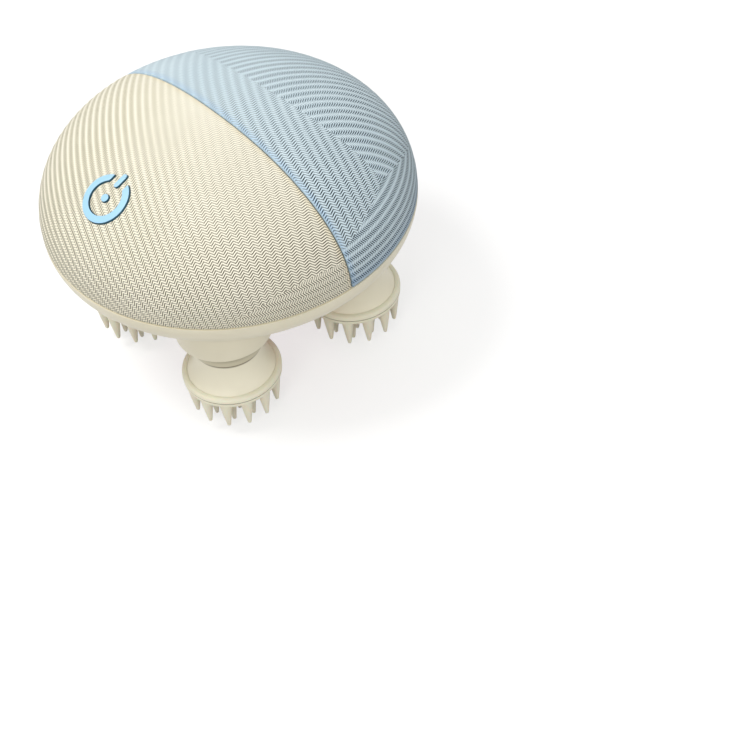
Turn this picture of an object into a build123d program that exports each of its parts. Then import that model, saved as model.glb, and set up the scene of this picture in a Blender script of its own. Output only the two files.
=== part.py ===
"""Electric scalp massager: a fabric-covered dome on a shallow bowl with four geared, clawed heads.

Millimetres. The origin is on the vertical axis at the height of the longest claws' tips, where the
massager stands, with +Z up. The power key is at the front (-Y) and the charging port at the back (+Y).
"""
import os
from math import acos, atan2, cos, hypot, pi, radians, sin, tan

from build123d import *

os.makedirs("parts", exist_ok=True)

# ---- Driving dimensions ----

# Body: dome above the parting line, bowl below it, both superellipses of revolution
body_r = 56.0  # radius at the parting line
parting_z = 54.5  # height of the parting line above the claw tips
crown_h = 31.1
crown_power = 2.23
bowl_depth = 18.6
bowl_power = 2.3
profile_points = 9  # points that carry each superellipse profile

# Walls and clearances
fabric_t = 1.0
cover_t = 2.0
bowl_t = 2.2
skin_gap = 0.05  # between curved faces that lie on each other
seat_gap = 0.02  # radial, a pin or screw seated in its hole
running_gap = 0.05  # radial, a shaft turning in a bore
slide_gap = 0.1  # radial, parts that plug or slide together

# Fabric seam and the tongue-and-snap joint of the two shells
seam_w = 0.5
fabric_edge_r = 0.8
tongue_t = 1.2
tongue_depth = 3.2
tongue_rise = 2.0  # up into the cover's wall
snap_count = 6
snap_w = 6.0
snap_h = 1.0
snap_proud = 0.5
snap_drop = 2.4  # underside of the hooks below the parting line

# Heads
head_count = 4
mouth_depth = 21.3  # turret mouth below the parting line
mouth_r = 14.6
turret_draft = 3.5  # degrees
blend_to_rim = 1.48  # bowl left between a turret's blend and the rim
turret_wall = 2.2
mouth_edge_r = 0.8
web_t = 2.2  # floor across the turret
neck_recess = 3.0
neck_r = 10.85
neck_gap = 0.3
neck_insertion = 2.0
neck_length = 8.0
flare_top_r = 10.1
flare_top_drop = 0.6  # groove between the neck and the flare
disc_r = 14.3
disc_depth = 39.2  # underside of the disc below the parting line
disc_t = 1.3
flare_bend_r = 11.0
hub_wall = 1.6
hub_cavity_r = 8.5
hub_boss_r = 4.4
hub_rib_t = 1.2
hub_rib_root = 0.5  # ends of the ribs in the wall
hub_rib_lift = 3.7  # lower edges of the ribs above the disc's underside
pad_edge_r = 0.4
pad_r = 15.1
pad_t = 1.0
pad_wrap_t = 0.5  # lip of the pad over the disc's edge
pad_wrap_r = 13.4
pad_plug_t = 1.2
pad_plug_h = 2.5

# Claws, ring by ring from the edge
claw_counts = [13, 8, 4]
claw_ring_r = [12.9, 8.0, 2.8]
claw_tip_z = [3.7, 1.1, 0.0]  # above the resting plane
claw_turns = [7.2, 0.0, 62.0]  # degrees
claw_base_r = 2.0
claw_tip_r = 0.6

# Shafts, bushes and seals of the heads
shaft_r = 2.0
shaft_socket = 11.0  # length held in the hub
bush_wall = 2.0
bush_flange_w = 1.2
bush_flange_t = 1.0
bush_boss_wall = 1.6
seal_r = 6.5
seal_t = 1.4

# Gear train
gears_in_body = 56  # body's radius in modules of the main gears
sun_teeth = 40
head_teeth = 28
drive_teeth = 16  # pinion of the reduction gear, on the sun gear
wheel_module = 0.6
wheel_teeth = 48
motor_teeth = 14
pressure_angle = radians(20)
addendum = 0.9
dedendum = 1.15
backlash = 0.14
gear_t = 5.0
gear_top_drop = 1.5  # top of the lower gears below the parting line
wheel_t = 2.5
wheel_lift = 0.8  # above the deck
sun_axle_r = 3.0
sun_hole_r = 3.6
sun_hole_ring_r = 11.0
sun_hole_count = 6
drive_stub_r = 2.0
drive_stub_h = 3.5
drive_journal_r = 4.5
drive_spigot_r = 3.0
axle_head_t = 1.2
axle_head_w = 1.5
shaft_end_drop = 0.3  # below the deck's top
end_play = 0.2

# Deck that carries the gear train
deck_from_rim = 5.7
deck_t = 2.5
deck_drop = 1.0  # underside below the parting line
post_r = 3.0
post_from_rim = 9.5  # post between the front turrets, by the key
side_post_x = 38.0
port_post_x = 14.5
port_post_y = 41.0

# Motor and its bracket
motor_r = 12.2
motor_h = 15.5
motor_nose_r = 3.2
motor_nose_h = 1.2
motor_shaft_r = 1.0
motor_shaft_reach = 4.0
motor_edge_r = 0.8
bracket_gap = 1.0  # above the wheel
bracket_t = 1.5
bracket_half_w = 18.5
bracket_leg_t = 2.0
bracket_foot_w = 6.0
bracket_depth = 16.0
motor_screw_x = 8.0

# Screws
deck_screw = dict(head_r=2.3, head_h=1.6, shank_r=1.2, length=9.0)
small_screw = dict(head_r=1.7, head_h=1.2, shank_r=0.9, length=4.0)
screw_clearance = 0.15

# Boards and battery
board_t = 1.2
main_board_from_rim = 11.0
main_board_half_w = 26.0
main_board_near_y = -23.0
main_board_lift = 4.7  # above the deck
main_board_inner_post = (20.0, -27.5)
main_board_outer_post_x = 13.0
main_board_outer_post_w = 4.0  # in from the board's edge
small_post_r = 2.2
cell_size = (46.0, 30.0, 10.0)
cell_y = 23.0
cell_edge_r = 1.5
cell_gap = 0.2
cell_rail_t = 1.2
cell_rail_h = 4.0
cell_rail_l = 14.0

# Light in the middle of the underside
window_r = 13.2
window_recess = 0.2
window_flange_w = 1.2
window_flange_t = 1.0
led_count = 8
led_ring_r = 9.6
led_r = 2.8
led_turn = 17.0  # degrees
led_dome_h = 0.5
lens_r = 6.0
lens_dome_h = 1.0
light_pad_r = 18.5
light_pad_lift = 0.4  # above the bowl's inner floor
light_post_ring_r = 16.3
light_post_r = 1.6
light_post_h = 1.4

# Power key: symbol standing through the cover and the front fabric
key_from_rim = 16.2
symbol_proud = 0.45
symbol_r = 6.45  # middle of the ring's stroke
symbol_stroke = 2.1
symbol_gap_w = 6.0
symbol_gap_depth = 6.2
bar_w = 1.8
bar_from = 4.0
bar_to = 8.8
dot_r = 1.2
key_clearance = 0.3
key_depth = 4.7  # top of the key plate below the dome's surface
key_plate_t = 1.4
key_plate_r = 9.0
key_ear_w = 7.0
key_post_x = 11.0
key_post_r = 2.0
key_post_embed = 3.0  # top of the guide posts below the dome's surface
key_travel = 0.5
plunger_r = 1.7
switch_size = (6.2, 6.2, 3.4)
switch_drop = 1.2  # below the key plate
plunger_entry = 1.0
well_spare = 0.3  # under the plunger when the key is pressed
key_board_size = (27.0, 9.0)

# Charging port and its cover
port_from_rim = 13.0
port_half_w = 8.2
port_inner = 7.6  # from the port's centre towards the axis
port_outer = 6.0
port_corner_r = 3.2
port_cover_t = 1.6
port_floor_drop = 1.75
port_gap = 0.15
port_slot = (8.8, 1.1, 0.8)  # finger slot: width, height, depth
port_slot_y = 5.7  # from the port's centre towards the axis
port_reach = 8.0
port_boss_w = 2.4
port_boss_depth = 4.6
usb_size = (8.94, 3.2, 6.3)
usb_wall = 0.35
usb_back_t = 0.8
usb_tongue = (6.7, 0.7, 4.6)
charge_board_size = (19.0, 11.0)
charge_post_x = 7.4
charge_post_y = 3.6

# ---- Derived places ----

gear_module = body_r / gears_in_body
head_ring_r = gear_module * (sun_teeth + head_teeth) / 2
key_from_axis = body_r - key_from_rim
port_from_axis = body_r - port_from_rim
deck_r = body_r - deck_from_rim
main_board_r = body_r - main_board_from_rim
mouth_z = parting_z - mouth_depth
web_z = mouth_z + neck_recess
neck_top_z = mouth_z + neck_insertion
neck_bottom_z = neck_top_z - neck_length
flare_top_z = neck_bottom_z - flare_top_drop
disc_z = parting_z - disc_depth
pad_z = disc_z - pad_t
disc_top_z = disc_z + disc_t
wrap_top_z = disc_top_z + skin_gap + pad_wrap_t
hub_ceiling_z = neck_top_z - hub_wall
shaft_bottom_z = neck_top_z - shaft_socket
gear_top_z = parting_z - gear_top_drop
gear_z = gear_top_z - gear_t
deck_z = parting_z - deck_drop
deck_top_z = deck_z + deck_t
wheel_z = deck_top_z + wheel_lift
bracket_z = wheel_z + wheel_t + bracket_gap
motor_z = bracket_z + bracket_t
main_board_z = deck_top_z + main_board_lift
bush_top_z = gear_z - end_play
bush_r = shaft_r + bush_wall
bush_boss_z = bush_top_z - bush_flange_t
bowl_bottom_z = parting_z - bowl_depth
light_pad_z = bowl_bottom_z + bowl_t + light_pad_lift
window_z = bowl_bottom_z + window_recess
light_board_z = light_pad_z + light_post_h
rim_bore_r = body_r - bowl_t
tongue_r = rim_bore_r - slide_gap

switch_well = plunger_entry + key_travel + well_spare
key_board_w = key_depth + key_plate_t + switch_drop + switch_size[2]  # below the dome's surface
charge_board_w = port_floor_drop + usb_size[2]  # below the bowl's surface

sun_pitch_r = gear_module * sun_teeth / 2
drive_pitch_r = gear_module * drive_teeth / 2
drive_y = -(sun_pitch_r + drive_pitch_r)
motor_y = drive_y + wheel_module * (wheel_teeth + motor_teeth) / 2

post_places = [
    (side_post_x, 0.0),
    (-side_post_x, 0.0),
    (0.0, post_from_rim - body_r),
    (port_post_x, port_post_y),
    (-port_post_x, port_post_y),
]
main_board_posts = [
    (side * x, y)
    for x, y in (main_board_inner_post, (main_board_outer_post_x, main_board_outer_post_w - main_board_r))
    for side in (1, -1)
]
key_posts = [(key_post_x, 0), (-key_post_x, 0)]
charge_posts = [(charge_post_x, charge_post_y), (-charge_post_x, charge_post_y)]
bracket_screw_x = bracket_half_w + bracket_foot_w / 2
bracket_screws_at = [(bracket_screw_x, motor_y), (-bracket_screw_x, motor_y)]
motor_screws_at = [(motor_screw_x, motor_y), (-motor_screw_x, motor_y)]
head_turns = [45 + 360 / head_count * i for i in range(head_count)]
head_places = [(head_ring_r * cos(radians(a)), head_ring_r * sin(radians(a))) for a in head_turns]


# ---- Shapes used by several parts ----


def superellipse(a, b, power, inset):
    """Points from the rim to the axis of a superellipse quarter, moved inwards by inset."""
    points = []
    for i in range(profile_points):
        t = pi / 2 * i / (profile_points - 1)
        c, s = max(cos(t), 0.0), sin(t)
        normal_r, normal_z = c ** (2 - 2 / power) / a, s ** (2 - 2 / power) / b
        size = hypot(normal_r, normal_z)
        radius = a * c ** (2 / power) - inset * normal_r / size
        height = b * s ** (2 / power) - inset * normal_z / size
        points.append((radius, height))
    points[-1] = (0.0, b - inset)
    return points


def dome_profile(inset):
    return [(r, parting_z + h) for r, h in superellipse(body_r, crown_h, crown_power, inset)]


def bowl_profile(inset):
    return [(r, parting_z - h) for r, h in superellipse(body_r, bowl_depth, bowl_power, inset)]


def profile_curve(profile):
    """Smooth curve along a profile, upright at the rim and level at the axis."""
    rise = 1 if profile[-1][1] > profile[0][1] else -1
    return Spline(profile, tangents=[(0, rise), (-1, 0)], tangent_scalars=[1, 1])


def shell_section(outer, inner):
    """Half section between two profiles that run from the rim to the axis."""
    with BuildSketch(Plane.XZ) as section:
        with BuildLine():
            add(profile_curve(outer))
            Line(outer[-1], inner[-1])
            add(profile_curve(inner))
            Line(inner[0], outer[0])
        make_face()
    return section.sketch


def solid_section(profile):
    """Half section of the whole body inside a profile."""
    with BuildSketch(Plane.XZ) as section:
        with BuildLine():
            add(profile_curve(profile))
            Polyline(profile[-1], (0, profile[0][1]), profile[0])
        make_face()
    return section.sketch


def surface_point(profile, from_axis):
    """Height of a revolved profile at a distance from the axis, and its slope there."""
    edge = profile_curve(profile)
    low, high = 0.0, 1.0
    for _ in range(40):
        middle = (low + high) / 2
        if (edge @ middle).X > from_axis:
            low = middle
        else:
            high = middle
    point, along = edge @ low, edge % low
    return point.Y, atan2(abs(along.Y), abs(along.X))


def upright(x, y):
    """Vertical plane through a head's axis, its x along +X and its y up."""
    return Plane(origin=(x, y, 0), x_dir=(1, 0, 0), z_dir=(0, -1, 0))


def vertical(x, y):
    return Axis((x, y, 0), (0, 0, 1))


def gear_face(place, module, teeth, turn=0.0):
    """Spur gear face with its first tooth on the x axis of place, turned by degrees."""
    pitch_r = module * teeth / 2
    base_r = pitch_r * cos(pressure_angle)
    tip_r = pitch_r + addendum * module
    root_r = pitch_r - dedendum * module
    half_pitch_tooth = pi / (2 * teeth) - backlash / (2 * pitch_r)

    def half_tooth(radius):
        angle = acos(min(1.0, base_r / radius))
        involute = tan(angle) - angle
        return half_pitch_tooth + tan(pressure_angle) - pressure_angle - involute

    corners = [(root_r, -half_tooth(max(root_r, base_r))), (tip_r, -half_tooth(tip_r))]
    corners += [(radius, -angle) for radius, angle in reversed(corners)]
    outline = []
    for tooth in range(teeth):
        middle = 2 * pi * tooth / teeth + radians(turn)
        outline += [(r * cos(middle + a), r * sin(middle + a)) for r, a in corners]
    with BuildSketch(place) as face:
        with BuildLine():
            Polyline(*outline, close=True)
        make_face()
    return face.sketch


def screw(place, head_r, head_h, shank_r, length):
    """Pan-head screw with the underside of its head on place and its shank going against place's z."""
    with BuildPart() as one:
        with BuildSketch(place):
            Circle(head_r)
        extrude(amount=head_h)
        with BuildSketch(place):
            Circle(shank_r)
        extrude(amount=-length)
    return one.part


def level(x, y, z):
    """Horizontal plane at a point."""
    return Plane(origin=(x, y, z))


key_z, key_tilt = surface_point(dome_profile(0), key_from_axis)
key_plane = Plane(
    origin=(0, -key_from_axis, key_z),
    x_dir=(1, 0, 0),
    z_dir=(0, -sin(key_tilt), cos(key_tilt)),
)
port_z, port_tilt = surface_point(bowl_profile(0), port_from_axis)
port_plane = Plane(
    origin=(0, port_from_axis, port_z),
    x_dir=(1, 0, 0),
    z_dir=(0, sin(port_tilt), -cos(port_tilt)),
)


def power_symbol(grow=0.0):
    """Open ring, bar and dot of the power symbol, grown all round by a clearance."""
    half_stroke = symbol_stroke / 2 + grow
    with BuildSketch(key_plane) as symbol:
        Circle(symbol_r + half_stroke)
        Circle(symbol_r - half_stroke, mode=Mode.SUBTRACT)
        with Locations((0, symbol_r)):
            Rectangle(symbol_gap_w - 2 * grow, symbol_gap_depth, mode=Mode.SUBTRACT)
        with Locations((0, (bar_from + bar_to) / 2)):
            SlotOverall(bar_to - bar_from + 2 * grow, bar_w + 2 * grow, rotation=90)
        Circle(dot_r + grow)
    return symbol.sketch


def port_outline(grow=0.0):
    """Rounded outline of the port cover, grown all round; its y axis runs towards the body's axis."""
    with BuildSketch(port_plane) as outline:
        with Locations((0, (port_inner - port_outer) / 2)):
            RectangleRounded(
                2 * (port_half_w + grow), port_inner + port_outer + 2 * grow, port_corner_r + grow
            )
    return outline.sketch


def bowl_skin(outline, outer_inset, inner_inset):
    """The part of the bowl's wall inside an outline, between two insets."""
    with BuildPart() as skin:
        revolve(shell_section(bowl_profile(outer_inset), bowl_profile(inner_inset)))
        extrude(outline, amount=port_reach, both=True, mode=Mode.INTERSECT)
    return skin.part


def inside_bowl(face, height):
    """A face raised by height and cut off inside the bowl's wall, so that it grows out of its floor."""
    with BuildPart() as rooted:
        extrude(face, amount=height)
        revolve(solid_section(bowl_profile(bowl_t / 2)), mode=Mode.INTERSECT)
    return rooted.part


def circles(place, points, radius):
    """Equal circles at points of a plane."""
    with BuildSketch(place) as face:
        with Locations(points):
            Circle(radius)
    return face.sketch


def domed_pin(x, y, radius, face_z, dome_h, top_z):
    """Round pin from top_z down to face_z, with a shallow dome below that."""
    dome_r = (radius**2 + dome_h**2) / (2 * dome_h)
    with BuildPart() as pin:
        with BuildSketch(upright(x, y)):
            with BuildLine():
                Polyline((radius, face_z), (radius, top_z), (0, top_z), (0, face_z - dome_h))
                RadiusArc((0, face_z - dome_h), (radius, face_z), -dome_r)
            make_face()
        revolve(axis=vertical(x, y))
    return pin.part


# ---- Lower housing: bowl, turrets, bosses and the pocket of the charging port ----

snap_z = parting_z - snap_drop
turret_top_z = parting_z - bowl_depth / 3
turret_top_r = mouth_r + tan(radians(turret_draft)) * (turret_top_z - mouth_z)
turret_blend = body_r - head_ring_r - turret_top_r - blend_to_rim
well_r = mouth_r - turret_wall
bush_boss_r = bush_r + bush_boss_wall
drive_boss_r = drive_stub_r + bush_boss_wall
light_turns = [0, 120, 240]
light_posts = [
    (light_post_ring_r * cos(radians(a)), light_post_ring_r * sin(radians(a))) for a in light_turns
]


def turret_section(x, y):
    """Half section of a tapered turret with a rounded edge at its mouth."""
    with BuildSketch(upright(x, y)) as section:
        with BuildLine():
            Polyline(
                (0, mouth_z),
                (mouth_r, mouth_z),
                (turret_top_r, turret_top_z),
                (0, turret_top_z),
                close=True,
            )
        make_face()
        fillet(section.vertices().sort_by(Axis.Y)[:2].sort_by(Axis.X)[-1], radius=mouth_edge_r)
    return section.sketch


def near_turret(edge):
    """Whether an edge lies round the foot of a turret."""
    middle = edge.center(CenterOf.BOUNDING_BOX)
    return min(hypot(middle.X - x, middle.Y - y) for x, y in head_places) < mouth_r


with BuildPart() as lower_housing:
    revolve(solid_section(bowl_profile(0)))
    for x, y in head_places:
        revolve(turret_section(x, y), axis=vertical(x, y))
    feet = lower_housing.edges().filter_by(GeomType.BSPLINE).filter_by(near_turret)
    fillet(feet, radius=turret_blend)
    # inside of the bowl, and the bore that takes the cover's tongue and its hooks
    revolve(solid_section(bowl_profile(bowl_t)), mode=Mode.SUBTRACT)
    with BuildSketch(level(0, 0, parting_z)):
        Circle(rim_bore_r)
    extrude(amount=-(tongue_depth + slide_gap), mode=Mode.SUBTRACT)
    with BuildSketch(level(0, 0, snap_z - slide_gap)):
        with PolarLocations(tongue_r, snap_count):
            Rectangle(2 * (snap_proud + slide_gap), snap_w + 2 * slide_gap)
    extrude(amount=snap_h + 2 * slide_gap, mode=Mode.SUBTRACT)
    # turrets: boss of the bush, well round it, recess of the neck, pocket of the seal
    extrude(circles(level(0, 0, web_z), head_places, bush_boss_r), amount=bush_boss_z - web_z)
    with BuildSketch(level(0, 0, web_z + web_t)):
        with Locations(head_places):
            Circle(well_r)
            Circle(bush_boss_r, mode=Mode.SUBTRACT)
    extrude(amount=bush_boss_z - web_z, mode=Mode.SUBTRACT)
    extrude(
        circles(level(0, 0, mouth_z), head_places, neck_r + neck_gap),
        amount=neck_recess,
        mode=Mode.SUBTRACT,
    )
    extrude(circles(level(0, 0, web_z), head_places, seal_r + seat_gap), amount=seal_t, mode=Mode.SUBTRACT)
    extrude(
        circles(level(0, 0, web_z), head_places, bush_r + seat_gap),
        amount=bush_boss_z - web_z,
        mode=Mode.SUBTRACT,
    )
    # posts of the deck, and the boss in which the drive pinion's stub turns
    floor = level(0, 0, bowl_bottom_z)
    add(inside_bowl(circles(floor, post_places, post_r), deck_z - bowl_bottom_z))
    add(inside_bowl(circles(floor, [(0, drive_y)], drive_boss_r), gear_z - end_play - bowl_bottom_z))
    extrude(
        circles(level(0, 0, deck_z), post_places, deck_screw["shank_r"] + seat_gap),
        amount=-(deck_screw["length"] - deck_t + end_play),
        mode=Mode.SUBTRACT,
    )
    extrude(
        circles(level(0, 0, gear_z), [(0, drive_y)], drive_stub_r + running_gap),
        amount=-(drive_stub_h + end_play),
        mode=Mode.SUBTRACT,
    )
    # seat and posts of the light
    add(inside_bowl(circles(floor, [(0, 0)], light_pad_r), light_pad_z - bowl_bottom_z))
    extrude(circles(level(0, 0, light_pad_z), light_posts, light_post_r), amount=light_post_h)
    extrude(
        circles(level(0, 0, light_board_z), light_posts, small_screw["shank_r"] + seat_gap),
        amount=-(small_screw["length"] - board_t + end_play),
        mode=Mode.SUBTRACT,
    )
    extrude(
        circles(level(0, 0, bowl_bottom_z), [(0, 0)], window_r + skin_gap),
        amount=light_pad_z - bowl_bottom_z,
        both=True,
        mode=Mode.SUBTRACT,
    )
    # charging port: thick floor, pocket, slot of the socket and posts of its board
    with BuildPart(mode=Mode.PRIVATE) as port_floor:
        extrude(port_outline(port_boss_w), amount=-port_boss_depth)
        revolve(solid_section(bowl_profile(bowl_t / 2)), mode=Mode.INTERSECT)
    add(port_floor.part)
    extrude(
        circles(port_plane.offset(-charge_board_w), charge_posts, light_post_r),
        amount=charge_board_w - port_boss_depth + skin_gap,
    )
    add(bowl_skin(port_outline(port_gap), -port_gap, port_floor_drop), mode=Mode.SUBTRACT)
    with BuildSketch(port_plane):
        SlotOverall(usb_size[0] + 2 * slide_gap, usb_size[1] + 2 * slide_gap)
    extrude(amount=-port_reach, mode=Mode.SUBTRACT)
    extrude(
        circles(port_plane.offset(-charge_board_w), charge_posts, small_screw["shank_r"] + seat_gap),
        amount=small_screw["length"] - board_t + end_play,
        mode=Mode.SUBTRACT,
    )
lower_housing.part.label = "lower_housing"
export_step(lower_housing.part, "parts/lower_housing.step")


# ---- Top cover: hard shell under the fabric, with the tongue, its hooks and the key's guide posts ----

with BuildPart() as top_cover:
    cover_inset = fabric_t + skin_gap
    revolve(shell_section(dome_profile(cover_inset), dome_profile(cover_inset + cover_t)))
    with BuildSketch(level(0, 0, parting_z - tongue_depth)):
        Circle(tongue_r)
        Circle(tongue_r - tongue_t, mode=Mode.SUBTRACT)
    extrude(amount=tongue_depth + tongue_rise)
    with BuildSketch(level(0, 0, snap_z)):
        with PolarLocations(tongue_r, snap_count):
            Rectangle(2 * snap_proud, snap_w)
    extrude(amount=snap_h)
    post_top = key_plane.offset(-key_post_embed)
    extrude(circles(post_top, key_posts, key_post_r), amount=key_post_embed - key_board_w)
    extrude(
        circles(key_plane.offset(-key_board_w), key_posts, small_screw["shank_r"] + seat_gap),
        amount=small_screw["length"] - board_t + end_play,
        mode=Mode.SUBTRACT,
    )
    extrude(power_symbol(key_clearance), amount=key_depth, both=True, mode=Mode.SUBTRACT)
top_cover.part.label = "top_cover"
export_step(top_cover.part, "parts/top_cover.step")


# ---- Fabric: two padded halves that meet at the seam across the middle ----


def fabric_half(keep):
    """Half of the dome's fabric on one side of the seam, its lower edge and its seam edge rounded."""
    with BuildPart() as half:
        revolve(shell_section(dome_profile(0), dome_profile(fabric_t)))
        side = -1 if keep == Keep.BOTTOM else 1
        split(bisect_by=Plane.XZ.offset(side * seam_w / 2), keep=keep)
        rim = half.edges().filter_by(GeomType.CIRCLE).sort_by(Edge.length)[-1]
        fillet(rim, radius=fabric_edge_r)
    return half.part


with BuildPart() as front_fabric:
    add(fabric_half(Keep.TOP))
    extrude(power_symbol(key_clearance), amount=key_depth, both=True, mode=Mode.SUBTRACT)
front_fabric.part.label = "front_fabric"
export_step(front_fabric.part, "parts/front_fabric.step")

with BuildPart() as rear_fabric:
    add(fabric_half(Keep.BOTTOM))
rear_fabric.part.label = "rear_fabric"
export_step(rear_fabric.part, "parts/rear_fabric.step")


# ---- Power key: symbol on a guided plate, its plunger, the tact switch and their board ----

with BuildPart() as power_key:
    extrude(power_symbol(), amount=key_depth, both=True)
    revolve(solid_section(dome_profile(-symbol_proud)), mode=Mode.INTERSECT)
    with BuildSketch(key_plane.offset(-key_depth)):
        Circle(key_plate_r)
        SlotOverall(2 * key_post_x + key_ear_w, key_ear_w)
        with Locations(key_posts):
            Circle(key_post_r + slide_gap, mode=Mode.SUBTRACT)
    extrude(amount=-key_plate_t)
power_key.part.label = "power_key"
export_step(power_key.part, "parts/power_key.step")

switch_top = key_plane.offset(-(key_board_w - switch_size[2]))

with BuildPart() as switch_plunger:
    with BuildSketch(key_plane.offset(-(key_depth + key_plate_t))):
        Circle(plunger_r)
    extrude(amount=-(switch_drop + plunger_entry))
switch_plunger.part.label = "switch_plunger"
export_step(switch_plunger.part, "parts/switch_plunger.step")

with BuildPart() as tact_switch:
    with BuildSketch(switch_top):
        Rectangle(switch_size[0], switch_size[1])
    extrude(amount=-switch_size[2])
    with BuildSketch(switch_top):
        Circle(plunger_r + slide_gap)
    extrude(amount=-switch_well, mode=Mode.SUBTRACT)
tact_switch.part.label = "tact_switch"
export_step(tact_switch.part, "parts/tact_switch.step")

with BuildPart() as key_board:
    with BuildSketch(key_plane.offset(-key_board_w)):
        Rectangle(key_board_size[0], key_board_size[1])
        with Locations(key_posts):
            Circle(small_screw["shank_r"] + screw_clearance, mode=Mode.SUBTRACT)
    extrude(amount=-board_t)
key_board.part.label = "key_board"
export_step(key_board.part, "parts/key_board.step")


# ---- Deck over the lower gears: shaft holes, cell rails and the posts of the main board ----

with BuildPart() as gear_deck:
    with BuildSketch(level(0, 0, deck_z)):
        Circle(deck_r)
        Circle(sun_axle_r + seat_gap, mode=Mode.SUBTRACT)
        with Locations(head_places):
            Circle(shaft_r + running_gap, mode=Mode.SUBTRACT)
        with Locations((0, drive_y)):
            Circle(drive_journal_r + running_gap, mode=Mode.SUBTRACT)
        with Locations(post_places):
            Circle(deck_screw["shank_r"] + screw_clearance, mode=Mode.SUBTRACT)
        with Locations(bracket_screws_at):
            Circle(small_screw["shank_r"] + seat_gap, mode=Mode.SUBTRACT)
    extrude(amount=deck_t)
    extrude(circles(level(0, 0, deck_top_z), main_board_posts, small_post_r), amount=main_board_lift)
    extrude(
        circles(level(0, 0, main_board_z), main_board_posts, small_screw["shank_r"] + seat_gap),
        amount=-(small_screw["length"] - board_t + end_play),
        mode=Mode.SUBTRACT,
    )
    rail_x = cell_size[0] / 2 + cell_gap + cell_rail_t / 2
    rail_y = cell_size[1] / 2 + cell_gap + cell_rail_t / 2
    with BuildSketch(level(0, cell_y, deck_top_z)):
        with Locations((0, rail_y), (0, -rail_y)):
            Rectangle(cell_rail_l, cell_rail_t)
        with Locations((rail_x, 0), (-rail_x, 0)):
            Rectangle(cell_rail_t, cell_rail_l)
    extrude(amount=cell_rail_h)
gear_deck.part.label = "gear_deck"
export_step(gear_deck.part, "parts/gear_deck.step")


# ---- Gear train ----

with BuildPart() as sun_gear:
    extrude(gear_face(level(0, 0, gear_z), gear_module, sun_teeth), amount=gear_t)
    with BuildSketch(level(0, 0, gear_z)):
        Circle(sun_axle_r + running_gap)
        with PolarLocations(sun_hole_ring_r, sun_hole_count):
            Circle(sun_hole_r)
    extrude(amount=gear_t, mode=Mode.SUBTRACT)
sun_gear.part.label = "sun_gear"
export_step(sun_gear.part, "parts/sun_gear.step")

with BuildPart() as sun_axle:
    with BuildSketch(level(0, 0, gear_z - end_play)):
        Circle(sun_axle_r)
    extrude(amount=deck_top_z - gear_z + end_play)
    with BuildSketch(level(0, 0, gear_z - end_play)):
        Circle(sun_axle_r + axle_head_w)
    extrude(amount=-axle_head_t)
sun_axle.part.label = "sun_axle"
export_step(sun_axle.part, "parts/sun_axle.step")

drive_at = (0, drive_y)

with BuildPart() as drive_pinion:
    extrude(
        gear_face(level(0, drive_y, gear_z), gear_module, drive_teeth, 180 / drive_teeth),
        amount=gear_t,
    )
    extrude(circles(level(0, 0, gear_top_z), [drive_at], drive_journal_r), amount=wheel_z - gear_top_z)
    extrude(circles(level(0, 0, wheel_z), [drive_at], drive_spigot_r), amount=wheel_t)
    extrude(circles(level(0, 0, gear_z), [drive_at], drive_stub_r), amount=-drive_stub_h)
drive_pinion.part.label = "drive_pinion"
export_step(drive_pinion.part, "parts/drive_pinion.step")

with BuildPart() as reduction_wheel:
    extrude(gear_face(level(0, drive_y, wheel_z), wheel_module, wheel_teeth), amount=wheel_t)
    extrude(
        circles(level(0, 0, wheel_z), [drive_at], drive_spigot_r + seat_gap),
        amount=wheel_t,
        mode=Mode.SUBTRACT,
    )
reduction_wheel.part.label = "reduction_wheel"
export_step(reduction_wheel.part, "parts/reduction_wheel.step")

motor_at = (0, motor_y)

with BuildPart() as motor_pinion:
    extrude(gear_face(level(0, motor_y, wheel_z), wheel_module, motor_teeth), amount=wheel_t)
    extrude(
        circles(level(0, 0, wheel_z), [motor_at], motor_shaft_r + seat_gap),
        amount=wheel_t,
        mode=Mode.SUBTRACT,
    )
motor_pinion.part.label = "motor_pinion"
export_step(motor_pinion.part, "parts/motor_pinion.step")

with BuildPart() as motor_shaft:
    extrude(
        circles(level(0, 0, wheel_z), [motor_at], motor_shaft_r),
        amount=motor_z - wheel_z + motor_shaft_reach,
    )
motor_shaft.part.label = "motor_shaft"
export_step(motor_shaft.part, "parts/motor_shaft.step")


# ---- Motor on its bracket ----

with BuildPart() as motor:
    extrude(circles(level(0, 0, motor_z), [motor_at], motor_r), amount=motor_h)
    fillet(motor.edges().sort_by(Axis.Z)[-1], radius=motor_edge_r)
    extrude(circles(level(0, 0, motor_z + motor_h), [motor_at], motor_nose_r), amount=motor_nose_h)
    extrude(circles(level(0, 0, motor_z), [motor_at], motor_nose_r), amount=-motor_nose_h)
    extrude(
        circles(level(0, 0, motor_z - motor_nose_h), [motor_at], motor_shaft_r + running_gap),
        amount=motor_nose_h + motor_shaft_reach + end_play,
        mode=Mode.SUBTRACT,
    )
    extrude(
        circles(level(0, 0, motor_z), motor_screws_at, small_screw["shank_r"] + seat_gap),
        amount=small_screw["length"] - bracket_t + end_play,
        mode=Mode.SUBTRACT,
    )
motor.part.label = "motor"
export_step(motor.part, "parts/motor.step")

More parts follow.
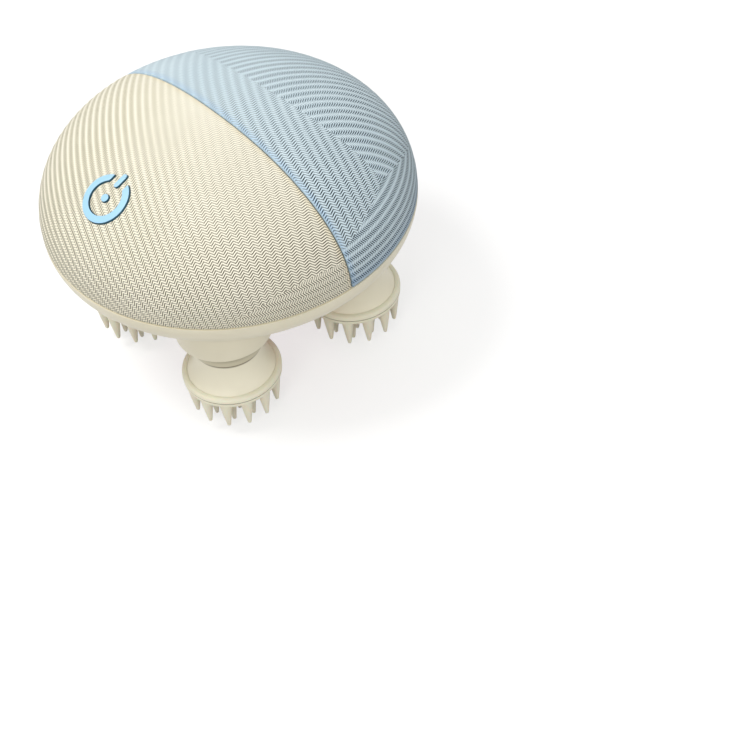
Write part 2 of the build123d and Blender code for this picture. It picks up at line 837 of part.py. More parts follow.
with BuildPart() as motor_bracket:
    with BuildSketch(level(0, motor_y, bracket_z)):
        Rectangle(2 * bracket_half_w, bracket_depth)
        Circle(motor_nose_r + slide_gap, mode=Mode.SUBTRACT)
        with Locations((motor_screw_x, 0), (-motor_screw_x, 0)):
            Circle(small_screw["shank_r"] + screw_clearance, mode=Mode.SUBTRACT)
    extrude(amount=bracket_t)
    leg_x = bracket_half_w - bracket_leg_t / 2
    with BuildSketch(level(0, motor_y, deck_top_z)):
        with Locations((leg_x, 0), (-leg_x, 0)):
            Rectangle(bracket_leg_t, bracket_depth)
    extrude(amount=bracket_z - deck_top_z)
    with BuildSketch(level(0, motor_y, deck_top_z)):
        with Locations((bracket_screw_x, 0), (-bracket_screw_x, 0)):
            Rectangle(bracket_foot_w, bracket_depth)
            Circle(small_screw["shank_r"] + screw_clearance, mode=Mode.SUBTRACT)
    extrude(amount=bracket_t)
motor_bracket.part.label = "motor_bracket"
export_step(motor_bracket.part, "parts/motor_bracket.step")


# ---- Battery and boards ----

with BuildPart() as battery:
    with BuildSketch(level(0, cell_y, deck_top_z)):
        Rectangle(cell_size[0], cell_size[1])
    extrude(amount=cell_size[2])
    fillet(battery.edges().filter_by(Axis.X), radius=cell_edge_r)
battery.part.label = "battery"
export_step(battery.part, "parts/battery.step")

with BuildPart() as main_board:
    with BuildSketch(level(0, 0, main_board_z)):
        Circle(main_board_r)
        with Locations((0, main_board_near_y - main_board_r / 2)):
            Rectangle(2 * main_board_half_w, main_board_r, mode=Mode.INTERSECT)
        with Locations(main_board_posts):
            Circle(small_screw["shank_r"] + screw_clearance, mode=Mode.SUBTRACT)
    extrude(amount=board_t)
main_board.part.label = "main_board"
export_step(main_board.part, "parts/main_board.step")

with BuildPart() as charge_board:
    with BuildSketch(port_plane.offset(-charge_board_w)):
        Rectangle(charge_board_size[0], charge_board_size[1])
        with Locations(charge_posts):
            Circle(small_screw["shank_r"] + screw_clearance, mode=Mode.SUBTRACT)
    extrude(amount=-board_t)
charge_board.part.label = "charge_board"
export_step(charge_board.part, "parts/charge_board.step")

socket_mouth = port_plane.offset(-port_floor_drop)

with BuildPart() as usb_socket:
    with BuildSketch(socket_mouth):
        SlotOverall(usb_size[0], usb_size[1])
    extrude(amount=-usb_size[2])
    with BuildSketch(socket_mouth):
        SlotOverall(usb_size[0] - 2 * usb_wall, usb_size[1] - 2 * usb_wall)
    extrude(amount=-(usb_size[2] - usb_back_t), mode=Mode.SUBTRACT)
    with BuildSketch(socket_mouth.offset(usb_back_t - usb_size[2])):
        Rectangle(usb_tongue[0], usb_tongue[1])
    extrude(amount=usb_tongue[2])
usb_socket.part.label = "usb_socket"
export_step(usb_socket.part, "parts/usb_socket.step")

with BuildSketch(port_plane) as finger_slot:
    with Locations((0, port_slot_y)):
        SlotOverall(port_slot[0], port_slot[1])

with BuildPart() as port_cover:
    add(bowl_skin(port_outline(), 0, port_cover_t))
    add(bowl_skin(finger_slot.sketch, -port_gap, port_slot[2]), mode=Mode.SUBTRACT)
port_cover.part.label = "port_cover"
export_step(port_cover.part, "parts/port_cover.step")


# ---- Light in the middle of the underside ----

led_turns = [led_turn + 360 / led_count * i for i in range(led_count)]
led_places = [(led_ring_r * cos(radians(a)), led_ring_r * sin(radians(a))) for a in led_turns]

with BuildPart() as light_window:
    with BuildSketch(level(0, 0, window_z)):
        Circle(window_r)
    extrude(amount=light_pad_z - window_z)
    with BuildSketch(level(0, 0, light_pad_z)):
        Circle(window_r + window_flange_w)
    extrude(amount=window_flange_t)
    with BuildSketch(level(0, 0, window_z)):
        Circle(lens_r + seat_gap)
        with Locations(led_places):
            Circle(led_r + seat_gap)
    extrude(amount=light_pad_z + window_flange_t - window_z, mode=Mode.SUBTRACT)
light_window.part.label = "light_window"
export_step(light_window.part, "parts/light_window.step")

with BuildPart() as red_leds:
    for x, y in led_places:
        add(domed_pin(x, y, led_r, window_z, led_dome_h, light_board_z))
red_leds.part.label = "red_leds"
export_step(red_leds.part, "parts/red_leds.step")

with BuildPart() as centre_lens:
    add(domed_pin(0, 0, lens_r, window_z, lens_dome_h, light_board_z))
centre_lens.part.label = "centre_lens"
export_step(centre_lens.part, "parts/centre_lens.step")

with BuildPart() as light_board:
    with BuildSketch(level(0, 0, light_board_z)):
        Circle(light_post_ring_r + light_post_r)
        with Locations(light_posts):
            Circle(small_screw["shank_r"] + screw_clearance, mode=Mode.SUBTRACT)
    extrude(amount=board_t)
light_board.part.label = "light_board"
export_step(light_board.part, "parts/light_board.step")


# ---- Screws ----


def inward(plane, w, points):
    """Planes at points of a tilted plane, w below it, facing into the body."""
    lower = plane.offset(-w)
    return [Plane(lower.from_local_coords(point), x_dir=(1, 0, 0), z_dir=-plane.z_dir) for point in points]


with BuildPart() as deck_screws:
    for x, y in post_places:
        add(screw(level(x, y, deck_top_z), **deck_screw))
deck_screws.part.label = "deck_screws"
export_step(deck_screws.part, "parts/deck_screws.step")

with BuildPart() as small_screws:
    for x, y in bracket_screws_at:
        add(screw(level(x, y, deck_top_z + bracket_t), **small_screw))
    for x, y in motor_screws_at:
        add(screw(Plane((x, y, bracket_z), z_dir=(0, 0, -1)), **small_screw))
    for x, y in main_board_posts:
        add(screw(level(x, y, main_board_z + board_t), **small_screw))
    for x, y in light_posts:
        add(screw(level(x, y, light_board_z + board_t), **small_screw))
    for place in inward(key_plane, key_board_w + board_t, key_posts):
        add(screw(place, **small_screw))
    for place in inward(port_plane, charge_board_w + board_t, charge_posts):
        add(screw(place, **small_screw))
small_screws.part.label = "small_screws"
export_step(small_screws.part, "parts/small_screws.step")


# ---- Heads: gear, shaft, hub and clawed pad turn together in a bush and a seal of the housing ----


def hub_section(x, y):
    """Half section of a hub: neck, groove, concave flare and the disc that the pad wraps."""
    foot_r = pad_wrap_r - slide_gap
    flare_w = foot_r - flare_top_r
    bend_z = wrap_top_z + (flare_bend_r**2 - (flare_bend_r - flare_w) ** 2) ** 0.5
    with BuildSketch(upright(x, y)) as section:
        with BuildLine():
            Polyline(
                (0, neck_top_z),
                (neck_r, neck_top_z),
                (neck_r, neck_bottom_z),
                (flare_top_r, flare_top_z),
                (flare_top_r, bend_z),
            )
            TangentArc((flare_top_r, bend_z), (foot_r, wrap_top_z), tangent=(0, -1))
            Polyline(
                (foot_r, wrap_top_z),
                (foot_r, disc_top_z),
                (disc_r, disc_top_z),
                (disc_r, disc_z),
                (0, disc_z),
                (0, neck_top_z),
            )
        make_face()
    return section.sketch


def pad_section(x, y):
    """Half section of a pad: plate, rim that wraps the hub's disc, and plug."""
    bed_r = disc_r + skin_gap
    lip_z = disc_top_z + skin_gap
    plug_r = hub_cavity_r - slide_gap
    plug_z = disc_z + pad_plug_h
    with BuildSketch(upright(x, y)) as section:
        with BuildLine():
            Polyline(
                (0, pad_z),
                (pad_r, pad_z),
                (pad_r, wrap_top_z),
                (pad_wrap_r, wrap_top_z),
                (pad_wrap_r, lip_z),
                (bed_r, lip_z),
                (bed_r, disc_z),
                (plug_r, disc_z),
                (plug_r, plug_z),
                (plug_r - pad_plug_t, plug_z),
                (plug_r - pad_plug_t, disc_z),
                (0, disc_z),
                close=True,
            )
        make_face()
        fillet(section.vertices().sort_by(Axis.X)[-2:], radius=pad_edge_r)
    return section.sketch


for number, (turn, (x, y)) in enumerate(zip(head_turns, head_places), 1):
    with BuildPart() as head_gear:
        gear_turn = turn + 180 + 180 / head_teeth
        extrude(gear_face(level(x, y, gear_z), gear_module, head_teeth, gear_turn), amount=gear_t)
        with BuildSketch(level(x, y, gear_z)):
            Circle(shaft_r + seat_gap)
        extrude(amount=gear_t, mode=Mode.SUBTRACT)
    head_gear.part.label = f"head_gear_{number}"
    export_step(head_gear.part, f"parts/head_gear_{number}.step")

    with BuildPart() as head_shaft:
        with BuildSketch(level(x, y, shaft_bottom_z)):
            Circle(shaft_r)
        extrude(amount=deck_top_z - shaft_end_drop - shaft_bottom_z)
    head_shaft.part.label = f"head_shaft_{number}"
    export_step(head_shaft.part, f"parts/head_shaft_{number}.step")

    with BuildPart() as shaft_bush:
        with BuildSketch(level(x, y, web_z + seal_t)):
            Circle(bush_r)
        extrude(amount=bush_top_z - web_z - seal_t)
        with BuildSketch(level(x, y, bush_boss_z)):
            Circle(bush_r + bush_flange_w)
        extrude(amount=bush_flange_t)
        with BuildSketch(level(x, y, web_z + seal_t)):
            Circle(shaft_r + running_gap)
        extrude(amount=bush_top_z - web_z - seal_t, mode=Mode.SUBTRACT)
    shaft_bush.part.label = f"shaft_bush_{number}"
    export_step(shaft_bush.part, f"parts/shaft_bush_{number}.step")

    with BuildPart() as shaft_seal:
        with BuildSketch(level(x, y, web_z)):
            Circle(seal_r)
            Circle(shaft_r + running_gap, mode=Mode.SUBTRACT)
        extrude(amount=seal_t)
    shaft_seal.part.label = f"shaft_seal_{number}"
    export_step(shaft_seal.part, f"parts/shaft_seal_{number}.step")

    with BuildPart() as head_hub:
        revolve(hub_section(x, y), axis=vertical(x, y))
        with BuildSketch(level(x, y, disc_z)):
            Circle(hub_cavity_r)
        extrude(amount=hub_ceiling_z - disc_z, mode=Mode.SUBTRACT)
        with BuildSketch(level(x, y, disc_z + hub_rib_lift)):
            Rectangle(2 * (hub_cavity_r + hub_rib_root), hub_rib_t)
            Rectangle(hub_rib_t, 2 * (hub_cavity_r + hub_rib_root))
        extrude(amount=hub_ceiling_z - disc_z - hub_rib_lift)
        with BuildSketch(level(x, y, disc_z + hub_rib_lift)):
            Circle(hub_boss_r)
        extrude(amount=hub_ceiling_z - disc_z - hub_rib_lift)
        with BuildSketch(level(x, y, shaft_bottom_z)):
            Circle(shaft_r + seat_gap)
        extrude(amount=neck_top_z - shaft_bottom_z, mode=Mode.SUBTRACT)
    head_hub.part.label = f"head_hub_{number}"
    export_step(head_hub.part, f"parts/head_hub_{number}.step")

    with BuildPart() as claw_pad:
        revolve(pad_section(x, y), axis=vertical(x, y))
        for count, ring_r, tip_z, ring_turn in zip(claw_counts, claw_ring_r, claw_tip_z, claw_turns):
            with Locations((x, y, tip_z)):
                with PolarLocations(ring_r, count, ring_turn):
                    Cone(
                        claw_tip_r,
                        claw_base_r,
                        pad_z - tip_z,
                        align=(Align.CENTER, Align.CENTER, Align.MIN),
                    )
    claw_pad.part.label = f"claw_pad_{number}"
    export_step(claw_pad.part, f"parts/claw_pad_{number}.step")
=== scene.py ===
"""Looks of an electric scalp massager: fabric dome, moulded bowl, four clawed heads and a red light.

Blender 4.5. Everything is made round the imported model. The object's sizes are in millimetres and are
turned into metres where a mesh is made; floor, lamps and camera are in metres. The object stands on its
longest claws at z = 0.
"""
from math import atan2, cos, hypot, pi, radians, sin

import bmesh
import bpy
import numpy as np
from mathutils import Matrix, Vector
from mathutils.geometry import delaunay_2d_cdt


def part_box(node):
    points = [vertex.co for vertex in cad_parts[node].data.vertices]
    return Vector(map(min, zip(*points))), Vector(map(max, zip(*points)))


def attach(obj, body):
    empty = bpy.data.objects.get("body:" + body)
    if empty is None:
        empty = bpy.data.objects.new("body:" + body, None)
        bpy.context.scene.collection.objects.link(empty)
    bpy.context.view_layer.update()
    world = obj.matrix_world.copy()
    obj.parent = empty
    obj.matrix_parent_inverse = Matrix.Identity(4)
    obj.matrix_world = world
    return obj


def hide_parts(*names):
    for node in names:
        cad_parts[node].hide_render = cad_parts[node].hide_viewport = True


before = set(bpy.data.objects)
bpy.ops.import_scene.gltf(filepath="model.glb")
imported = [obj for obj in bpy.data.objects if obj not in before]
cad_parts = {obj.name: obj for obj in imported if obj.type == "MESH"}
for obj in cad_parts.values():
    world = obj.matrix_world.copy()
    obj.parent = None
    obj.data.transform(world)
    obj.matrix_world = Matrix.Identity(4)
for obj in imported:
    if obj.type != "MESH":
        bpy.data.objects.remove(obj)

bpy.context.view_layer.update()
MM = 0.001


# ---- Sizes from the frame, and the forms' own ----

fabric_low, fabric_high = (np.array(corner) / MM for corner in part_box("rear_fabric"))
body_r = fabric_high[1]
parting_z = fabric_low[2]
crown_h = fabric_high[2] - parting_z
crown_power = 2.23
bowl_depth = 18.6
bowl_power = 2.3

fabric_t = 1.0
dome_reach = 71.09  # arc length from the crown to the rim
seam_half_w = 0.25
seam_roll = (1.1, 0.5)  # run and drop of the cloth's rolled edge along the seam
rim_roll = (0.9, 0.75)
symbol_roll = (0.3, 0.2)
cloth_rib_h = 0.17
cloth_spacing = 0.55
seam_step, seam_samples, rim_count = 0.8, 190, 330
edge_layers = [0.08, 0.2, 0.36, 0.6, 0.95]  # distances from an edge with extra points

head_count = 4
head_ring_r = 34.0
neck_r, neck_top_z, neck_bottom_z = 10.85, 35.2, 27.2
groove_z = 15.42  # line between a pad's rim and its face, where painted shade darkens the groove
led_ring_r, led_turn, led_count = 9.6, 17.0, 8


def ring_places(radius, turn, count):
    """Places evenly spaced on a circle, the first one turned by some degrees."""
    angles = [radians(turn + 360 * i / count) for i in range(count)]
    return [(radius * cos(angle), radius * sin(angle)) for angle in angles]


head_places = ring_places(head_ring_r, 45, head_count)
led_places = ring_places(led_ring_r, led_turn, led_count)

# ---- Meshes ----


def new_object(name, data):
    """An object in the scene."""
    obj = bpy.data.objects.new(name, data)
    bpy.context.scene.collection.objects.link(obj)
    return obj


def make_piece(name, form, slot, body, unrolled=False, crease=38.0):
    """A form's closed mesh, facing outwards, riding on a body of the frame."""
    mesh = bpy.data.meshes.new(name)
    mesh.from_pydata((np.asarray(form.points, float) * MM).tolist(), [], form.faces)
    if unrolled:
        layer = mesh.uv_layers.new(name="cloth")
        corner = np.zeros(len(mesh.loops), np.int32)
        mesh.loops.foreach_get("vertex_index", corner)
        layer.data.foreach_set("uv", np.asarray(form.flat, np.float32)[corner].ravel())
    faced = bmesh.new()
    faced.from_mesh(mesh)
    bmesh.ops.recalc_face_normals(faced, faces=faced.faces)
    faced.to_mesh(mesh)
    faced.free()
    mesh.polygons.foreach_set("use_smooth", [True] * len(mesh.polygons))
    mesh.set_sharp_from_angle(angle=radians(crease))
    mesh.materials.append(materials[slot])
    obj = new_object(name, mesh)
    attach(obj, body)
    return obj


class Form:
    """Points in millimetres, their places on an unrolled surface, and faces between them."""

    def __init__(self):
        self.points, self.flat, self.faces = [], [], []

    def add(self, points, flat=None):
        """Adds points and gives their numbers."""
        first = len(self.points)
        self.points.extend(np.asarray(points, float).tolist())
        flat = np.zeros((len(points), 2)) if flat is None else np.asarray(flat, float)
        self.flat.extend(flat.tolist())
        return list(range(first, len(self.points)))

    def fill(self, numbers, faces):
        """Adds faces whose corners are places in a list of point numbers."""
        self.faces += [tuple(numbers[v] for v in face) for face in faces]

    def join(self, one, other):
        """Joins two closed rings of equally many points, or the first to a single point."""
        for i in range(len(one)):
            j = (i + 1) % len(one)
            end = (other[0],) if len(other) == 1 else (other[j], other[i])
            self.faces.append((one[i], one[j], *end))

    def lathe(self, profile, segments, place):
        """Turns (radius, z) pairs about the vertical axis through place, and gives the first and last ring.

        A last pair on the axis becomes one point, which closes that end.
        """
        angles = np.arange(segments) * 2 * pi / segments
        rings = []
        for radius, z in profile:
            around = angles if radius else angles[:1]
            x, y = place[0] + radius * np.cos(around), place[1] + radius * np.sin(around)
            rings.append(self.add(np.column_stack([x, y, np.full(len(around), z)])))
        for one, other in zip(rings, rings[1:]):
            self.join(one, other)
        return rings[0], rings[-1]


def round_corner(before, corner, after, radius, steps=5):
    """Points of an arc-like curve that replaces a corner of a line."""
    before, corner, after = (np.array(p, float) for p in (before, corner, after))
    start = corner + (before - corner) / np.linalg.norm(before - corner) * radius
    end = corner + (after - corner) / np.linalg.norm(after - corner) * radius
    turns = np.linspace(0, 1, steps)[:, None]
    return ((1 - turns) ** 2 * start + 2 * turns * (1 - turns) * corner + turns**2 * end).tolist()


def profile(*corners):
    """Profile from (radius, z) or (radius, z, rounding) corners."""
    made = []
    for before, corner, after in zip(corners[-1:] + corners, corners, corners[1:] + corners[:1]):
        sharp = len(corner) == 2
        made += [corner] if sharp else round_corner(before[:2], corner[:2], after[:2], corner[2])
    return made


# ---- Regions of a surface, and closed sheets over them ----

points_at_once = 4000  # keeps the arrays of point and edge pairs small
tiny = 1e-12
hex_row_step = 0.866  # distance of the rows of an even triangle grid, in spacings
layer_clearance = 0.93  # how much of a layer's own distance it keeps from every edge
grid_clearance = 0.55  # how far the grid stays from the last layer, in spacings
back_spacing = 3.0


def in_parts(work, points):
    """What work makes of the points, a few at a time."""
    parts = np.array_split(points, len(points) // points_at_once + 1)
    return np.concatenate([work(part) for part in parts])


def edge_distance(points, line, closed):
    """Distance from each 2-D point to a line of points."""
    ends = np.roll(line, -1, axis=0) if closed else line[1:]
    starts = line if closed else line[:-1]
    along = ends - starts
    length = np.maximum((along**2).sum(1), tiny)

    def distance(some):
        offset = some[:, None, :] - starts[None]
        share = np.clip((offset * along).sum(2) / length, 0, 1)
        gap = offset - share[..., None] * along
        return np.sqrt((gap**2).sum(2).min(1))

    return in_parts(distance, points)


def inside(points, loop):
    """Whether each 2-D point lies inside a closed line."""
    ends = np.roll(loop, -1, axis=0)
    rise = ends[:, 1] - loop[:, 1]
    rise = np.where(np.abs(rise) < tiny, tiny, rise)

    def is_inside(some):
        crosses = (loop[:, 1] > some[:, 1:2]) != (ends[:, 1] > some[:, 1:2])
        at = loop[:, 0] + (some[:, 1:2] - loop[:, 1]) / rise * (ends[:, 0] - loop[:, 0])
        return (crosses & (some[:, 0:1] < at)).sum(1) % 2 == 1

    return in_parts(is_inside, points)


def hex_grid(low, high, spacing):
    """Points of an even triangle grid over a rectangle."""
    rows = []
    for row, y in enumerate(np.arange(low[1], high[1], spacing * hex_row_step)):
        x = np.arange(low[0] + (spacing / 2 if row % 2 else 0), high[0], spacing)
        rows.append(np.column_stack([x, np.full(len(x), y)]))
    return np.concatenate(rows)


def inset_line(line, distance):
    """A closed line moved sideways by a distance, to its left."""
    along = np.roll(line, -1, axis=0) - line
    along /= np.linalg.norm(along, axis=1)[:, None]
    left = np.column_stack([-along[:, 1], along[:, 0]])
    middle = left + np.roll(left, 1, axis=0)
    middle /= np.maximum(np.linalg.norm(middle, axis=1), 1e-9)[:, None]
    stretch = 1 / np.maximum((middle * left).sum(1), 0.5)
    return line + middle * (distance * stretch)[:, None]


def in_region(points, loops):
    """Whether each 2-D point lies inside the first loop and outside the others."""
    found = inside(points, loops[0])
    for hole in loops[1:]:
        found &= ~inside(points, hole)
    return found


def region_points(loops, spacing, layers=()):
    """Points inside the first loop and outside the others: lines along the edges, and an even grid."""

    def wanted(points, gap):
        points = points[in_region(points, loops)]
        near = np.full(len(points), np.inf)
        for loop in loops:
            near = np.minimum(near, edge_distance(points, loop, True))
        return points[near > gap]

    rows = []
    for loop, side in zip(loops, [1] + [-1] * (len(loops) - 1)):
        area = np.sum(loop[:, 0] * np.roll(loop[:, 1], -1) - loop[:, 1] * np.roll(loop[:, 0], -1))
        for layer in layers:
            line = inset_line(loop, layer * side * np.sign(area))
            rows.append(wanted(line, layer * layer_clearance))
    reach = layers[-1] if layers else 0.0
    grid = hex_grid(loops[0].min(0), loops[0].max(0), spacing)
    rows.append(wanted(grid, reach + spacing * grid_clearance))
    return np.concatenate(rows)


def triangles(loops, inner):
    """Triangles over the first loop without the others; points are the loops' in order, then inner."""
    points = np.concatenate([*loops, inner]) if len(inner) else np.concatenate(loops)
    edges, first = [], 0
    for loop in loops:
        edges += [(first + i, first + (i + 1) % len(loop)) for i in range(len(loop))]
        first += len(loop)
    made = delaunay_2d_cdt([Vector(p) for p in points], edges, [], 0, 1e-7)
    origin = [o[0] for o in made[3]]
    faces = np.array([[origin[v] for v in face] for face in made[2]])
    edge_only = (faces < first).all(1)  # only such a triangle can lie outside the region
    keep = np.ones(len(faces), bool)
    keep[edge_only] = in_region(points[faces[edge_only]].mean(1), loops)
    return [tuple(face) for face in faces[keep]]


def roll_drop(distance, run, drop):
    """How far a rolled edge has dropped at a distance from the edge."""
    share = np.clip(1 - distance / run, 0, 1)
    return drop * (1 - np.sqrt(1 - share**2))


def closed_sheet(form, loops, place, thickness, spacing, edges=(), layers=(), relief=None, pits=()):
    """Adds a closed sheet over a region, with rolled edges.

    loops are 2-D, the outer one first. place(points, inset) puts 2-D points in space, inset below the
    outer surface. edges are (line, closed, run, drop). layers are distances from the loops at which the
    outer surface gets extra points. relief(points) lifts the outer surface. pits are (loop, depth), with
    a floor.
    """
    pit_loops = [loop for loop, _ in pits]
    every = loops + pit_loops
    inner = region_points(every, spacing, layers)
    flat = np.concatenate([*every, inner])
    drop = np.zeros(len(flat))
    for line, closed, run, fall in edges:
        drop = np.maximum(drop, roll_drop(edge_distance(flat, line, closed), run, fall))
    lift = relief(flat) if relief else 0.0
    top = form.add(place(flat, drop - lift), flat)
    form.fill(top, triangles(every, inner))
    back = region_points(loops, back_spacing)
    under = np.concatenate([*loops, back])
    bottom = form.add(place(under, np.full(len(under), thickness)), under)
    form.fill(bottom, [face[::-1] for face in triangles(loops, back)])
    first = 0
    for loop in loops:
        form.join(top[first : first + len(loop)], bottom[first : first + len(loop)])
        first += len(loop)
    for loop, depth in pits:
        lower = form.add(place(loop, np.full(len(loop), depth)), loop)
        form.join(top[first : first + len(loop)], lower)
        form.fill(lower, triangles([loop], []))
        first += len(loop)


def arc(centre, radius, start, end, count):
    """Points of an arc, angles in degrees."""
    angles = np.radians(np.linspace(start, end, count))
    return np.array(centre) + radius * np.column_stack([np.cos(angles), np.sin(angles)])


def soften(loop, radius, sharp_turn=30, clearance=1.15):
    """A closed line with its sharp corners rounded, and without its points too near to them."""
    made, is_corner = [], []
    nexts = np.roll(loop, -1, axis=0)
    for i, point in enumerate(loop):
        before, after = point - loop[i - 1], nexts[i] - point
        turn = atan2(before[0] * after[1] - before[1] * after[0], before @ after)
        is_corner.append(abs(turn) > radians(sharp_turn))
    corners = loop[is_corner]
    for i, point in enumerate(loop):
        if is_corner[i]:
            made += round_corner(loop[i - 1], point, nexts[i], radius)
        elif np.linalg.norm(corners - point, axis=1).min() > radius * clearance:
            made.append(point)
    return np.array(made)


def slot_loop(centre, length, width, upright=False, count=9):
    """Outline of a rounded slot."""
    half = (length - width) / 2
    ends = [arc((x, 0), width / 2, turn - 90, turn + 90, count) for x, turn in ((half, 0), (-half, 180))]
    ends = np.concatenate(ends)
    if upright:
        ends = np.column_stack([-ends[:, 1], ends[:, 0]])
    return ends + np.array(centre)


def rounded_box(low, high, radius, step=0.6, count=9):
    """Outline of a rounded rectangle, with its straight runs divided."""
    left, right, lower, upper = low[0] + radius, high[0] - radius, low[1] + radius, high[1] - radius
    corners = [((right, lower), -90), ((right, upper), 0), ((left, upper), 90), ((left, lower), 180)]
    outline = np.concatenate([arc(c, radius, a, a + 90, count) for c, a in corners])
    made = []
    for start, end in zip(outline, np.roll(outline, -1, axis=0)):
        parts = max(1, int(np.linalg.norm(end - start) / step))
        made += [start + (end - start) * i / parts for i in range(parts)]
    return np.array(made)


class Shell:
    """Superellipse turned about the body's axis, above (rise 1) or below (rise -1) the parting line."""

    samples = 6001
    search_reach, search_steps = 12.0, 40

    def __init__(self, height, power, rise):
        self.height, self.power, self.rise = height, power, rise
        t = (1 - np.cos(np.linspace(0, pi, self.samples))) * pi / 4
        self.r = body_r * np.sin(t) ** (2 / power)
        self.h = height * np.cos(t).clip(0) ** (2 / power)
        steps = np.hypot(np.diff(self.r), np.diff(self.h))
        self.s = np.concatenate([[0], np.cumsum(steps)])

    def at(self, radius, height, angle, inset):
        """Points on the surface, moved inwards by inset along its normal."""
        normal_r = (radius / body_r).clip(0) ** (self.power - 1) / body_r
        normal_h = (height / self.height).clip(0) ** (self.power - 1) / self.height
        size = np.hypot(normal_r, normal_h)
        radius = radius - inset * normal_r / size
        height = height - inset * normal_h / size
        z = parting_z + self.rise * height
        return np.column_stack([radius * np.cos(angle), radius * np.sin(angle), z])

    def unrolled(self, flat, inset):
        """Puts points of the unrolled surface in space; flat distances from the middle are arc lengths."""
        arc_length = np.hypot(flat[:, 0], flat[:, 1])
        radius = np.interp(arc_length, self.s, self.r)
        height = np.interp(arc_length, self.s, self.h)
        return self.at(radius, height, np.arctan2(flat[:, 1], flat[:, 0]), inset)

    def unroll(self, points):
        """The unrolled place of points that lie on the surface."""
        radius = np.hypot(points[:, 0], points[:, 1])
        arc_length = np.interp(radius, self.r, self.s)
        return points[:, :2] * (arc_length / np.maximum(radius, 1e-9))[:, None]

    def level(self, points):
        """Below zero inside the surface, and above zero outside."""
        radius = np.hypot(points[:, 0], points[:, 1]) / body_r
        height = np.abs(points[:, 2] - parting_z) / self.height
        return radius**self.power + height**self.power - 1

    def tangent_frame(self, from_axis, azimuth):
        """Origin, x, y and outward normal of the plane that touches the surface at a place."""
        height = self.height * (1 - (from_axis / body_r) ** self.power) ** (1 / self.power)
        slope = (from_axis / body_r) ** (self.power - 1) / body_r
        slope /= (height / self.height) ** (self.power - 1) / self.height
        size = hypot(slope, 1)
        across = np.array([cos(azimuth), sin(azimuth), 0.0])
        origin = across * from_axis + np.array([0, 0, parting_z + self.rise * height])
        normal = across * (slope / size) + np.array([0, 0, self.rise / size])
        x_axis = np.array([1.0, 0.0, 0.0])
        return origin, x_axis, np.cross(normal, x_axis), normal

    def projected(self, plane, flat, inset):
        """Puts points of a touching plane on the surface, and inset below it along the plane's normal."""
        origin, x_axis, y_axis, normal = plane
        base = origin + flat[:, :1] * x_axis + flat[:, 1:] * y_axis
        low, high = np.full(len(flat), -self.search_reach), np.full(len(flat), self.search_reach)
        for _ in range(self.search_steps):
            middle = (low + high) / 2
            outside = self.level(base + middle[:, None] * normal) > 0
            high = np.where(outside, middle, high)
            low = np.where(outside, low, middle)
        return base + (low - inset)[:, None] * normal


dome = Shell(crown_h, crown_power, 1)
bowl = Shell(bowl_depth, bowl_power, -1)


# ---- Formulas shared by meshes and materials ----


class Value:
    """A number worked out by math nodes, so that a formula serves a material and a mesh alike."""

    def __init__(self, tree, socket):
        self.tree, self.socket = tree, socket

    def made(self, operation, *others):
        """The result of one math node on this value and others."""
        node = self.tree.nodes.new("ShaderNodeMath")
        node.operation = operation
        for slot, other in zip(node.inputs, [self, *others]):
            if isinstance(other, Value):
                self.tree.links.new(other.socket, slot)
            else:
                slot.default_value = float(other)
        return Value(self.tree, node.outputs[0])

    def __add__(self, other):
        return self.made("ADD", other)

    def __sub__(self, other):
        return self.made("SUBTRACT", other)

    def __mul__(self, other):
        return self.made("MULTIPLY", other)

    def __truediv__(self, other):
        return self.made("DIVIDE", other)

    def __rsub__(self, other):
        return (self * -1) + other

    __radd__ = __add__
    __rmul__ = __mul__


def either(on_values, on_arrays):
    """A function of values or arrays."""

    def chosen(first, *rest):
        return on_values(first, *rest) if isinstance(first, Value) else on_arrays(first, *rest)

    return chosen


root = either(lambda a: a.made("SQRT"), np.sqrt)
wave = either(lambda a: a.made("SINE"), np.sin)
size_of = either(lambda a: a.made("ABSOLUTE"), np.abs)
part_of = either(lambda a: a.made("FRACT"), lambda a: a - np.floor(a))
bearing = either(lambda a, b: a.made("ARCTAN2", b), np.arctan2)
within = either(lambda a: a.made("MAXIMUM", 0.0).made("MINIMUM", 1.0), lambda a: np.clip(a, 0, 1))
is_more = either(lambda a, b: a.made("GREATER_THAN", b), lambda a, b: (a > b) * 1.0)


def mix(low, high, share):
    """Low where the share is 0, and high where it is 1."""
    return low + (high - low) * share


def away(u, v, centre):
    """Distance from a centre."""
    return root((u - centre[0]) * (u - centre[0]) + (v - centre[1]) * (v - centre[1]))


# ---- The cloth's weave, laid out on the unrolled dome ----

# A column has a rib on one side and a trough of bold stitches on the other. Columns run round a centre
# in families. Where two families meet, the one whose weighted distance from its start is longer goes on.

crown = (0.0, 0.0)  # the body's axis
column_w, seam_column_w, side_column_w, rim_column_w = 2.6, 2.9, 3.0, 2.3
stitch_pitch, wide_pitch = 0.82, 0.76
seam_fineness = 1.1  # the seam family's stitches are this much finer than stitch_pitch
rib_fade_from, rib_fade_run = 1.0, 1.5  # the ribs fade at the cloth's edges

cream_centre = (160.0, 257.0)
cream_across = (0.25, 0.381, 0.00195, 0.0000197)  # column number as a cubic of the distance
cream_corner = (0.988, -0.152, 60.8)  # line that cuts off the corner by the seam
cream_rim_from, cream_rim_side = 66.2, 50.0  # rim columns at the other end of the seam
cream_lean = 0.9  # how many stitches a column's fold shifts them by, per millimetre
cream_rib_start, cream_rib_run = 2.0, 24.0
cream_rib_least, cream_rib_side, cream_rib_side_run = 0.2, 0.6, 45.0  # flatter towards +u

seam_centre, side_centre = (64.0, 133.0), (90.0, 2.4)
seam_start, side_start, rim_start = 109.5, 50.1, 52.2
rim_over_seam, rim_over_side, seam_over_side = 3.8, 2.6, 1.8
side_lean, seam_lean, rim_lean = -1.1, 0.9, 0.8
side_ribbed, seam_ribbed, rim_ribbed = 0.7, 0.3, 0.8


